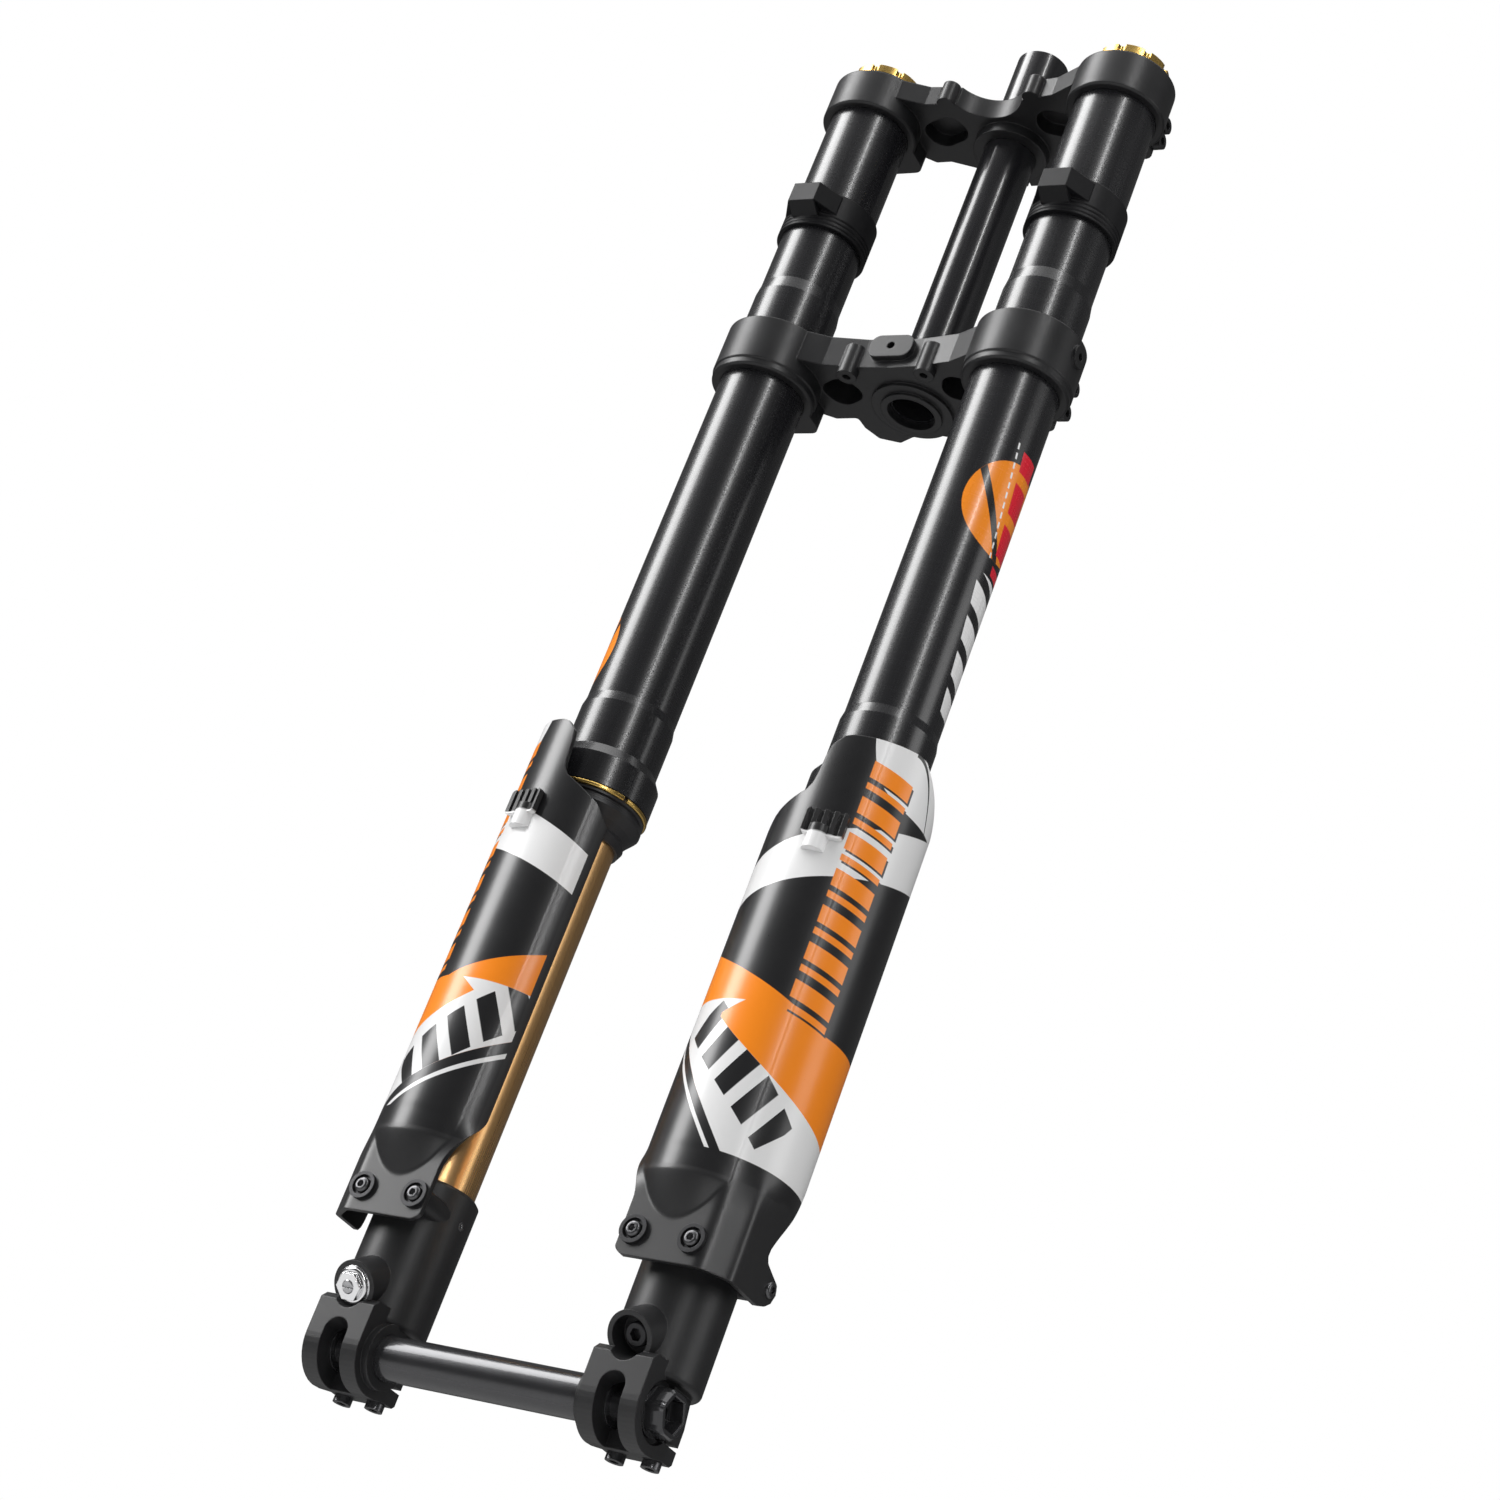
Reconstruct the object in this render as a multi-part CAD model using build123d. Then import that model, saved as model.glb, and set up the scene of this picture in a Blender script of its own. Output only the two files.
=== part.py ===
# Inverted double-crown suspension fork for a mountain bike, built piece by piece.
# Frame: origin on the steerer axis at the top face of the lower crown (crown race seat).
# +Z runs up the legs, -Y is the front, +X is the brake side. Millimetres.
import math
import os
from build123d import *

# ---- overall layout -------------------------------------------------------
leg_spacing = 147.0            # between the two leg axes
leg_offset = 27.5              # legs ahead of the steerer axis
crown_gap = 149.5              # lower crown top to upper crown bottom
travel = 180.0                 # wheel travel
axle_offset = 9.0              # axle ahead of the leg axes
axle_drop = 568.0              # axle below the crown race seat
hub_seat_reach = 3.5           # hub faces stand this far inside the lugs
lug_half_w = 15.0
hub_width = leg_spacing - 2 * (lug_half_w + hub_seat_reach)
leg_x = leg_spacing / 2
leg_y = -leg_offset
axle_y = leg_y - axle_offset
axle_z = -axle_drop
upper_crown_h = 22.5
upper_low = crown_gap
upper_high = crown_gap + upper_crown_h

# ---- fits -----------------------------------------------------------------
clamp_play = 0.02              # radial, crown bores on tubes
slide_play = 0.04              # radial, stanchion in its bushes
seal_play = 0.02               # radial, seal lips on the stanchion
axle_play = 0.04               # radial, axle in the lugs
screw_play = 0.03              # radial, adjuster spindles

# ---- stanchions -----------------------------------------------------------
stanchion_r = 18.5
stanchion_bore_r = stanchion_r - 2.2
stanchion_top = -98.0
stanchion_foot = -520.0
bush_h = 18.0
upper_bush_z = -150.0
lower_bush_z = -262.0
bush_wall = 1.9

# ---- upper tubes ----------------------------------------------------------
tube_top = upper_high + 4.0
tube_step_z = 25.0
tube_low_r = 22.9              # through and below the lower crown
tube_r = tube_low_r - 0.9      # between the crowns
flare_1_z = -233.0
flare_1_r = tube_low_r + 0.9
flare_2_z = -258.0
flare_2_r = tube_low_r + 4.5
tube_foot = -279.6
tube_bore_r = stanchion_r + bush_wall
cap_thread_r = tube_bore_r
seal_bore_r = flare_2_r - 2.5
seal_bore_h = 13.6

# ---- steerer --------------------------------------------------------------
steerer_r = 14.3
steerer_bore_r = 11.3
steerer_top = upper_high + 45.0
steerer_foot = -17.0
race_r = 15.1                  # crown race seat
race_height = 5.0
foot_r = 15.4                  # pressed into the lower crown
cut_line_gap = 0.6
cut_line_w = 1.0
cut_line_depth = 0.3
race_fillet = 0.6

# ---- upper crown ----------------------------------------------------------
upper_ring_r = tube_r + 4.4    # outside of the leg clamps
upper_web_h = 12.5             # height of the bridge between the clamps
steerer_boss_r = 20.5
lobe_spacing = 51.0            # handlebar clamp lobes
lobe_r = 4.9
lobe_y = -36.2
lobe_hole_r = 2.6
lobe_hole_depth = 11.0
valley_r = 22.3                # scooped front between the lobes
valley_depth_y = -23.6
ring_lip = 1.0                 # chamfer inside and outside the ring ends
slot_width = 2.0               # pinch slots

# ---- lower crown ----------------------------------------------------------
lower_crown_h = 30.0
lower_ring_r = tube_low_r + 5.6
lower_web_h = 18.0
lip_r = lower_ring_r - 0.8     # reduced foot of the lower clamp rings
lip_h = 3.8
lower_boss_r = 22.0
lower_boss_h = 20.0
foot_lip_r = 16.5              # raised rim round the steerer's foot
foot_lip_h = 1.6
front_boss_w = 25.0
front_boss_h = 14.0
front_boss_y = -37.5
front_boss_z = -6.5
front_hole_r = 2.1
front_hole_depth = 7.0
post_spacing = 45.0
post_r = 5.4
post_hole_r = 2.1
post_hole_depth = 10.0
post_y = -33.0
post_top = -5.0
post_foot = -23.0
side_boss_r = 6.0
side_boss_z = -9.0
side_hole_r = 2.1

# ---- crown pinch bolts ----------------------------------------------------
pinch_r = 2.5
pinch_head_r = 4.3
pinch_head_h = 5.0
pinch_hex = 4.0
pinch_len = 23.0               # shank
ear_out = lower_ring_r + 3.0   # clamp ear reach behind the leg axis
ear_side_out = 11.5            # clamp ear, outer end from the slot
ear_side_in = 20.5             # clamp ear, inner end from the slot
pinch_gap = 0.9                # wall between a clamp bore and its bolt hole
head_gap = 0.3                 # radial room round a sunk screw head
spot_face_len = 12.0

# ---- bumpers --------------------------------------------------------------
bumper_r = tube_r + 2.4
bumper_top = 88.3
bumper_h = 22.0
block_half_w = 7.8
block_front = 32.0
block_top = 87.0
block_foot = 75.3
bumper_groove = 0.7
bumper_groove_pitch = 2.6

# ---- seal end -------------------------------------------------------------
seal_h = 8.0
clip_h = 1.4
clip_r = seal_bore_r
wiper_lip_r = flare_2_r - 0.8
wiper_foot = -301.5
wiper_spigot_h = 4.0
split_ring_r = flare_2_r + 0.2
split_ring_h = 2.6
split_ring_gap = 2.2
split_ring_bore_r = flare_2_r - 1.6

# ---- top caps and knobs ---------------------------------------------------
cap_flange_r = tube_bore_r - 0.1
cap_flange_h = 6.0
cap_skirt_h = 16.0
cap_notches = 9
cap_notch_r = 2.0
cap_bore_r = 5.0
cap_seal_r = 1.2
knob_r = 9.0
knob_h = 6.0
knob_recess_r = 9.6
knob_recess_h = 3.0
knob_ribs = 12

# ---- spring side (right leg) ----------------------------------------------
spacer_r = stanchion_bore_r - 3.3
spacer_bore_r = spacer_r - 2.5
spacer_foot = -76.0
spring_r = stanchion_bore_r - 3.3   # mean coil radius
spring_wire_r = 2.3
spring_turns = 17.0
spring_foot_z = -505.0
seat_r = stanchion_bore_r - 0.4
seat_h = 15.0

# ---- damper side (left leg) -----------------------------------------------
damper_r = stanchion_bore_r - 2.8
damper_bore_r = damper_r - 1.5
damper_foot = -82.0
damper_head_h = 22.0
rod_r = 5.0
rod_foot = -535.0
piston_r = damper_bore_r - 0.1
piston_h = 12.0

# ---- axle size ---------------------------------------------------------
axle_r = 10.0

# ---- axle lugs ------------------------------------------------------------
lug_r = stanchion_r + 3.3
lug_top = -486.0
lug_foot = -555.0
block_r = axle_r + 8.2         # axle clamp round the axle
collar_r = axle_r + 4.4        # hub seat collars
face_recess_r = axle_r + 3.4
face_recess_d = 3.0
pocket_half_w = 6.3
pocket_up = 8.5
tab_reach = 21.5               # pinch tabs behind the axle
tab_drop = 16.0                # underside of the pinch tabs below the axle
slot_drop = 0.8 * axle_r       # pinch slot below the axle
axle_slot_w = 2.0
lug_bolt_y = axle_r + 6.0      # pinch screws behind the axle
lug_bolt_top = 4.0             # screw tips above the axle height
lug_bolt_spacing = 18.0
lug_bolt_r = 2.5
lug_bolt_head_r = 4.2
lug_bolt_head_h = 3.6
lug_bolt_hex = 4.0
boss_angle = 33.0              # angled foot boss, below the horizontal
boss_r = 11.2
boss_rim_y = 27.2              # rim centre ahead of the leg axis
boss_rim_z = -544.4
boss_bore_r = 8.8
boss_bore_d = 9.0
plug_hex = 11.6
plug_h = 2.2
plug_flange_h = 2.0
screw_r = 3.1
nut_hex_r = 5.4
guard_boss_r = 5.6
set_screw_r = 2.0
set_screw_z = -500.3

# ---- axle -----------------------------------------------------------------
axle_neck_r = axle_r - 3.4
axle_neck_half = 5.6
axle_bore_r = axle_r - 4.8
axle_hex = 2 * axle_r - 0.8
axle_head_out = 22.4           # head face beyond the brake-side leg axis
axle_socket_r = axle_r - 2.6
axle_socket_d = 7.0

# ---- guards ---------------------------------------------------------------
guard_r = flare_2_r + 7.9
guard_t = 2.6
guard_shift = 1.7
guard_foot = -511.0
plate_y = 30.0                 # front of the flat foot, ahead of the leg axis
plate_half_w = 21.3
plate_t = 3.0
chin_top = -472.0
chin_foot = -491.5
guard_bolt_spacing = 29.4
guard_bolt_z = -499.5
collar_out = 1.7
collar_ring_r = 6.6
collar_hole_r = 4.8
guard_bolt_r = 2.5
guard_head_r = 3.7
guard_head_h = 2.4
tab_bolt_y = 10.4
tab_bolt_z = -501.5
web_x = 33.0
clip_angle = 15.0
clip_z = -304.0


def leg_place(side, z=0.0):
    """Location on a leg axis; side is -1 or +1."""
    return Pos(side * leg_x, leg_y, z)


def tube(outer, inner, low, high):
    return Pos(0, 0, low) * (
        Cylinder(outer, high - low, align=(Align.CENTER, Align.CENTER, Align.MIN))
        - Cylinder(inner, high - low, align=(Align.CENTER, Align.CENTER, Align.MIN))
    )


def rod(radius, low, high):
    return Pos(0, 0, low) * Cylinder(radius, high - low, align=(Align.CENTER, Align.CENTER, Align.MIN))


def rod_y(radius, low, high):
    """Cylinder along Y from low to high."""
    return Pos(0, low, 0) * (Rot(-90, 0, 0) * Cylinder(radius, high - low, align=(Align.CENTER, Align.CENTER, Align.MIN)))


def rod_x(radius, low, high):
    """Cylinder along X from low to high."""
    return Pos(low, 0, 0) * (Rot(0, 90, 0) * Cylinder(radius, high - low, align=(Align.CENTER, Align.CENTER, Align.MIN)))


def block(x0, x1, y0, y1, z0, z1):
    return Pos((x0 + x1) / 2, (y0 + y1) / 2, (z0 + z1) / 2) * Box(x1 - x0, y1 - y0, z1 - z0)


def hexagon(flats, height):
    return extrude(RegularPolygon(flats / 2, 6, major_radius=False), height)


def spin(points):
    """Solid of revolution about Z from an (r, z) outline."""
    return revolve(make_face(Plane.XZ * Polyline(*points, close=True)), Axis.Z)


def clamp_ring(outer, low, high, foot_r=None, foot_h=0.0):
    """Round clamp body with chamfered ends and an optional reduced foot."""
    foot_r = foot_r or outer
    outline = [(0, low), (foot_r - ring_lip, low), (foot_r, low + ring_lip)]
    if foot_h:
        outline += [(foot_r, low + foot_h), (outer, low + foot_h + 0.8)]
    outline += [(outer, high - ring_lip), (outer - ring_lip, high), (0, high)]
    return spin(outline)


# ---------------------------------------------------------------- steerer
def steerer_tube():
    body = rod(steerer_r, steerer_foot, steerer_top) + rod(race_r, 0, race_height)
    body += rod(foot_r, steerer_foot, 0)
    # cut line just above the upper crown
    groove_low = upper_high + cut_line_gap
    body -= tube(steerer_r + 1, steerer_r - cut_line_depth, groove_low, groove_low + cut_line_w)
    body -= rod(steerer_bore_r, steerer_foot - 1, steerer_top + 1)
    rims = body.edges().filter_by(GeomType.CIRCLE).group_by(Axis.Z)[-1]
    return chamfer(rims, race_fillet)


# ---------------------------------------------------------------- crowns
def crown_plan(ring_r, boss_r, middle):
    """Plan outline of a crown: two rings, the steerer boss and the bridge between."""
    plan = Circle(boss_r) + middle
    for side in (-1, 1):
        plan += Pos(side * leg_x, leg_y) * Circle(ring_r)
    return plan


def both_sides(right_half):
    """Closed outline from its right-hand half, which runs from the front to the back."""
    left_half = [(-x, y) for x, y in reversed(right_half)]
    return right_half + left_half


def bridge(right_half, rounding):
    """Bridge outline with its back corners rounded."""
    face = make_face(Polyline(*both_sides(right_half), close=True))
    return fillet(face.vertices().filter_by(lambda v: v.Y > -2.0), rounding)


def pinch_ear(side, low, high):
    """Split ear at the back of a leg clamp, before its slot is cut."""
    ends = sorted((side * ear_side_out, -side * ear_side_in))
    ear = block(ends[0], ends[1], 0, ear_out, low, high)
    corners = [e for e in ear.edges().filter_by(Axis.Z) if e.center().Y > 1]
    return leg_place(side) * fillet(corners, 5.5)


def pinch_cuts(side, bore, low, high, heights):
    """Slot and bolt holes of a leg clamp, as one cutting shape."""
    cut = block(-slot_width / 2, slot_width / 2, 10, ear_out + 5, low - 1, high + 1)
    line_y = bore + pinch_r + pinch_gap
    ends = sorted((side * (ear_side_out + 1), -side * (pinch_len - ear_side_out)))
    for z in heights:
        cut += Pos(0, line_y, z) * rod_x(pinch_r, ends[0], ends[1])
        face = sorted((side * ear_side_out, side * (ear_side_out + spot_face_len)))
        cut += Pos(0, line_y, z) * rod_x(pinch_head_r + head_gap, face[0], face[1])
    return leg_place(side) * cut


def pinch_bolt(length):
    """Socket head screw along +X, head seat at the origin."""
    bolt = rod_x(pinch_head_r, -pinch_head_h, 0) + rod_x(pinch_r, 0, length)
    socket = Pos(-pinch_head_h - 0.01, 0, 0) * (Rot(0, 90, 0) * hexagon(pinch_hex, 2.6))
    return bolt - socket


def leg_bolts(side, bore, heights):
    line_y = bore + pinch_r + pinch_gap
    turn = 0 if side < 0 else 180
    bolts = []
    for z in heights:
        place = leg_place(side) * (Pos(side * ear_side_out, line_y, z) * Rot(0, 0, turn))
        bolts.append(place * pinch_bolt(pinch_len))
    return bolts


upper_bolt_z = (upper_low + 6.0, upper_high - 6.0)
lower_bolt_z = (-lower_crown_h + 7.5, -7.5)
steerer_bolt_z = (upper_high - upper_web_h + 1.4, upper_high - 5.4)
steerer_bolt_y = steerer_r + pinch_r + pinch_gap + 1.6


def upper_crown():
    half = [
        (lobe_spacing / 2, lobe_y + 1),
        (lobe_spacing / 2 + 6, -36.8),
        (38.0, -37.4),
        (leg_x - 21, leg_y - 16.4),
        (leg_x - 14, leg_y - upper_ring_r + 4.0),
        (leg_x, leg_y),
        (leg_x - ear_side_in + 2, leg_y + ear_out - 0.6),
        (50.0, 7.5),
        (41.0, 7.5),
        (27.0, 14.0),
        (13.0, 20.0),
    ]
    plan = crown_plan(upper_ring_r, steerer_boss_r, bridge(half, 2.0))
    for side in (-1, 1):
        plan += Pos(side * lobe_spacing / 2, lobe_y) * Circle(lobe_r)
    plan -= Pos(0, valley_depth_y - valley_r) * Circle(valley_r)
    body = Pos(0, 0, upper_high - upper_web_h) * extrude(plan, upper_web_h)
    for side in (-1, 1):
        body += leg_place(side) * clamp_ring(upper_ring_r, upper_low, upper_high)
        body += pinch_ear(side, upper_low, upper_high)
    body += rod(steerer_boss_r, upper_low + 4.0, upper_high)
    body += block(-9.0, 9.0, 8.0, 27.0, upper_high - upper_web_h - 3, upper_high - 0.4)
    # weight-saving pockets under the bridge
    for side in (-1, 1):
        pocket = block(-12.5, 12.5, -9.5, 9.5, upper_low - 1, upper_high - 4.5)
        pocket = fillet(pocket.edges().filter_by(Axis.Z), 8.5)
        body -= Pos(side * 34.0, -15.5) * (Rot(0, 0, side * 20) * pocket)
    # bores, pinch slots and screw holes
    body -= rod(steerer_r + clamp_play, upper_low - 1, upper_high + 1)
    for side in (-1, 1):
        body -= leg_place(side) * rod(tube_r + clamp_play, upper_low - 1, upper_high + 1)
        body -= pinch_cuts(side, tube_r, upper_low, upper_high, upper_bolt_z)
        body -= Pos(side * lobe_spacing / 2, lobe_y) * rod(lobe_hole_r, upper_high - lobe_hole_depth, upper_high + 1)
    body -= block(-slot_width / 2, slot_width / 2, 5.0, 30.0, upper_low - 1, upper_high + 1)
    for z in steerer_bolt_z:
        body -= Pos(0, steerer_bolt_y, z) * rod_x(pinch_r, -9.5, 9.5)
        body -= Pos(0, steerer_bolt_y, z) * rod_x(pinch_head_r + head_gap, -9.0 - spot_face_len, -9.0)
    return body


def steerer_bolts():
    bolts = []
    for z in steerer_bolt_z:
        bolts.append(Pos(-9.0, steerer_bolt_y, z) * pinch_bolt(2 * 9.0))
    return bolts


def lower_crown():
    half = [
        (0.0, -33.6),
        (16.0, -34.4),
        (37.0, -37.4),
        (leg_x - 24, leg_y - 15.2),
        (leg_x - 14, leg_y - lower_ring_r + 4.5),
        (leg_x, leg_y),
        (leg_x - ear_side_in + 2, leg_y + ear_out - 0.6),
        (49.0, 7.0),
        (36.0, 6.8),
        (35.5, 15.0),
        (31.0, 24.0),
        (20.0, 28.0),
        (11.0, 23.5),
        (2.0, 21.0),
    ]
    plan = crown_plan(lower_ring_r, lower_boss_r, bridge(half, 2.2))
    body = Pos(0, 0, -lower_web_h) * extrude(plan, lower_web_h)
    for side in (-1, 1):
        body += leg_place(side) * clamp_ring(lower_ring_r, -lower_crown_h, 0, lip_r, lip_h)
        body += pinch_ear(side, -lower_crown_h, 0)
    body += rod(lower_boss_r, -lower_boss_h, 0)
    body += rod(foot_lip_r, -lower_boss_h - foot_lip_h, 0)
    # raised boss in the middle of the front wall
    pad = block(-front_boss_w / 2, front_boss_w / 2, front_boss_y, -22, front_boss_z - front_boss_h / 2,
                front_boss_z + front_boss_h / 2 - 0.5)
    pad = fillet(pad.edges().filter_by(Axis.Y), 5.5)
    body += pad
    # half-round posts below the front wall
    for side in (-1, 1):
        body += Pos(side * post_spacing / 2, post_y) * rod(post_r, post_foot, post_top)
    # round boss on the outer side of the brake-side ring
    body += Pos(leg_x, leg_y, side_boss_z) * rod_x(side_boss_r, 24, lower_ring_r + 1.4)
    # pockets under the bridge
    for side in (-1, 1):
        pocket = block(-10.5, 10.5, -9.5, 9.5, -lower_crown_h, -5.0)
        pocket = fillet(pocket.edges().filter_by(Axis.Z), 8.0)
        body -= Pos(side * 35.0, -15.0) * (Rot(0, 0, side * 25) * pocket)
    body -= rod(steerer_bore_r + 1.5, -lower_crown_h - 1, steerer_foot)
    body -= rod(foot_r, steerer_foot, 1)
    for side in (-1, 1):
        body -= leg_place(side) * rod(tube_low_r + clamp_play, -lower_crown_h - 1, 1)
        body -= pinch_cuts(side, tube_low_r, -lower_crown_h, 0, lower_bolt_z)
        body -= Pos(side * post_spacing / 2, post_y) * rod(post_hole_r, post_foot - 1, post_foot + post_hole_depth)
    body -= Pos(0, front_boss_y, front_boss_z) * rod_y(front_hole_r, -1, front_hole_depth)
    body -= Pos(leg_x, leg_y, side_boss_z) * rod_x(side_hole_r, 25.0, lower_ring_r + 3)
    return body


# ---------------------------------------------------------------- legs, fixed part
def upper_tube(side):
    outline = [
        (tube_bore_r, tube_top),
        (tube_r, tube_top),
        (tube_r, tube_step_z + 7.0),
        (tube_low_r, tube_step_z),
        (tube_low_r, flare_1_z + 5.0),
        (flare_1_r, flare_1_z),
        (flare_1_r, flare_2_z),
        (flare_2_r, flare_2_z - 6.0),
        (flare_2_r, tube_foot),
        (seal_bore_r, tube_foot),
        (seal_bore_r, tube_foot + seal_bore_h),
        (tube_bore_r, tube_foot + seal_bore_h),
    ]
    return leg_place(side) * spin(outline)


def bumper(side):
    ring = tube(bumper_r, tube_r, bumper_top - bumper_h, bumper_top)
    nose = block(-block_half_w, block_half_w, -block_front, -tube_r - 0.5, block_foot, block_top)
    wedge = extrude(make_face(Plane.YZ * Polyline(
        (-block_front, block_foot), (-bumper_r + 1.0, block_foot), (-bumper_r + 1.0, block_foot - 4.5), close=True)),
        block_half_w, both=True)
    cheeks = []
    for side_x in (-1, 1):
        cheek = extrude(make_face(Plane.XY * Polyline(
            (side_x * block_half_w, -block_front), (side_x * block_half_w, -22.6),
            (side_x * (block_half_w + 8.0), -19.0), close=True)), block_top - block_foot)
        cheeks.append(Pos(0, 0, block_foot) * cheek)
    body = ring + nose + wedge
    for cheek in cheeks:
        body += cheek
    body -= rod(tube_r, bumper_top - bumper_h - 5, bumper_top + 5)
    for step in range(3):
        z = bumper_top - bumper_h + 1.6 + step * bumper_groove_pitch
        body -= Pos(0, 0, z) * Torus(bumper_r + 0.2, bumper_groove)
    return leg_place(side) * body


def top_cap(side):
    body = rod(cap_flange_r, tube_top, tube_top + cap_flange_h)
    body += rod(cap_thread_r, tube_top - cap_skirt_h, tube_top)
    for number in range(cap_notches):
        angle = math.radians(8.0 + number * 360.0 / cap_notches)
        notch = rod(cap_notch_r, tube_top + 1.0, tube_top + cap_flange_h + 1)
        body -= Pos(cap_flange_r * math.sin(angle), -cap_flange_r * math.cos(angle)) * notch
    body -= rod(knob_recess_r, tube_top + cap_flange_h - knob_recess_h, tube_top + cap_flange_h + 1)
    body -= rod(cap_bore_r + screw_play, tube_top - cap_skirt_h - 1, tube_top + cap_flange_h)
    body -= Pos(0, 0, tube_top - 4.0) * Torus(cap_thread_r, cap_seal_r)
    below = tube_top - cap_skirt_h
    bore = spacer_r if side > 0 else damper_r
    body -= rod(bore, below - 1, below + 6.0)
    return leg_place(side) * body


def cap_seal(side):
    ring = Torus(cap_thread_r, cap_seal_r) & rod(cap_thread_r, -3, 3)
    return leg_place(side, tube_top - 4.0) * ring


def cap_knob(side):
    """Adjuster knob with its spindle; side picks the leg."""
    low = tube_top + cap_flange_h - knob_recess_h + 0.3
    head = rod(knob_r, low, low + knob_h)
    for number in range(knob_ribs):
        angle = math.radians(number * 360.0 / knob_ribs)
        head -= Pos(knob_r * math.cos(angle), knob_r * math.sin(angle)) * rod(0.9, low + 1.2, low + knob_h + 1)
    rim = head.edges().filter_by(GeomType.CIRCLE).group_by(Axis.Z)[-1]
    spindle = rod(cap_bore_r, tube_top - cap_skirt_h + 7.0, low)
    pointer = block(-0.7, 0.7, 2.0, knob_r + 1, low + knob_h - 0.8, low + knob_h + 1)
    return leg_place(side) * (head + spindle - pointer)


def bush(side, mid):
    return leg_place(side) * tube(tube_bore_r, stanchion_r + slide_play, mid - bush_h / 2, mid + bush_h / 2)


def oil_seal(side):
    top = tube_foot + seal_bore_h
    outline = [
        (seal_bore_r, top),
        (stanchion_r + 2.2, top),
        (stanchion_r + seal_play, top - 2.0),
        (stanchion_r + seal_play, top - 3.4),
        (stanchion_r + 2.0, top - 5.0),
        (stanchion_r + 2.0, top - 6.4),
        (stanchion_r + seal_play, top - seal_h),
        (seal_bore_r, top - seal_h),
    ]
    return leg_place(side) * spin(outline)


def seal_ring_clip(side):
    top = tube_foot + seal_bore_h - seal_h
    ring = tube(clip_r, clip_r - 2.6, top - clip_h, top)
    ring -= Pos(0, clip_r, top - clip_h / 2) * Box(9, 8, clip_h + 1)
    return leg_place(side) * ring


def dust_wiper(side):
    spigot_top = tube_foot + wiper_spigot_h
    outline = [
        (seal_bore_r, spigot_top),
        (stanchion_r + 1.6, spigot_top),
        (stanchion_r + 1.6, tube_foot - 6.0),
        (stanchion_r + 0.9, tube_foot - 12.0),
        (stanchion_r + seal_play, wiper_foot + 1.5),
        (stanchion_r + seal_play, wiper_foot),
        (stanchion_r + 1.6, wiper_foot),
        (stanchion_r + 3.2, wiper_foot + 3.6),
        (stanchion_r + 2.6, wiper_foot + 5.6),
        (wiper_lip_r - 3.4, wiper_foot + 9.0),
        (wiper_lip_r - 0.8, tube_foot - 9.5),
        (wiper_lip_r, tube_foot - 8.4),
        (wiper_lip_r, tube_foot - 6.6),
        (wiper_lip_r - 1.2, tube_foot - 6.0),
        (wiper_lip_r - 1.2, tube_foot - 4.6),
        (wiper_lip_r, tube_foot - 4.0),
        (wiper_lip_r, tube_foot - split_ring_h - 0.2),
        (split_ring_bore_r, tube_foot - split_ring_h - 0.2),
        (split_ring_bore_r, tube_foot),
        (seal_bore_r, tube_foot),
    ]
    return leg_place(side) * spin(outline)


def split_ring(side):
    """Round-section gold ring round the top of the wiper, with one gap."""
    mid = tube_foot - split_ring_h / 2 - 0.1
    ring = tube(split_ring_r, split_ring_bore_r, mid - split_ring_h / 2 + 0.05, mid + split_ring_h / 2 - 0.05)
    rims = [e for e in ring.edges().filter_by(GeomType.CIRCLE) if abs(e.radius - split_ring_r) < 0.01]
    ring = fillet(rims, 0.9)
    ring = Pos(0, 0, 0) * (Rot(0, 0, 68) * (ring - Pos(0, -split_ring_r, mid) * Box(split_ring_gap, 8, 6)))
    return leg_place(side) * ring


# ---------------------------------------------------------------- insides
def preload_spacer():
    top = tube_top - cap_skirt_h + 6.0
    body = tube(spacer_r, spacer_bore_r, spacer_foot, top)
    body += tube(seat_r, spacer_bore_r, spacer_foot, spacer_foot + 4.0)
    return leg_place(1) * body


def main_spring():
    low = spring_foot_z + seat_h
    high = spacer_foot
    length = high - low - 2 * spring_wire_r
    path = Helix(pitch=length / spring_turns, height=length, radius=spring_r)
    start = path @ 0
    section = Plane(origin=start, z_dir=path % 0) * Circle(spring_wire_r)
    coil = sweep(section, path, is_frenet=True)
    return leg_place(1, low + spring_wire_r) * coil


def spring_seat():
    body = rod(seat_r, spring_foot_z, spring_foot_z + seat_h)
    body += rod(spring_r - spring_wire_r - 0.6, spring_foot_z + seat_h, spring_foot_z + seat_h + 12)
    return leg_place(1) * fillet(body.edges().group_by(Axis.Z)[-1], 2.0)


def damper_tube():
    top = tube_top - cap_skirt_h + 6.0
    body = tube(damper_r, damper_bore_r, damper_foot, top)
    return leg_place(-1) * body


def damper_head():
    body = rod(damper_r + 1.6, damper_foot - damper_head_h, damper_foot)
    body += rod(damper_bore_r, damper_foot, damper_foot + 8.0)
    body -= rod(rod_r + screw_play + 0.02, damper_foot - damper_head_h - 1, damper_foot + 9.0)
    return leg_place(-1) * body


# ---------------------------------------------------------------- legs, moving part
def stanchion(side):
    body = tube(stanchion_r, stanchion_bore_r, stanchion_foot, stanchion_top)
    rims = body.edges().filter_by(GeomType.CIRCLE).group_by(Axis.Z)[-1]
    return leg_place(side) * chamfer(rims, 0.6)


def boss_axis():
    tilt = math.radians(boss_angle)
    return (0.0, -math.cos(tilt), -math.sin(tilt))


def boss_frame(side):
    """Frame at the centre of the angled boss rim, +Z pointing out of it."""
    return Plane(
        origin=(side * leg_x, leg_y - boss_rim_y, boss_rim_z),
        x_dir=(1, 0, 0),
        z_dir=boss_axis(),
    )


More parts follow.
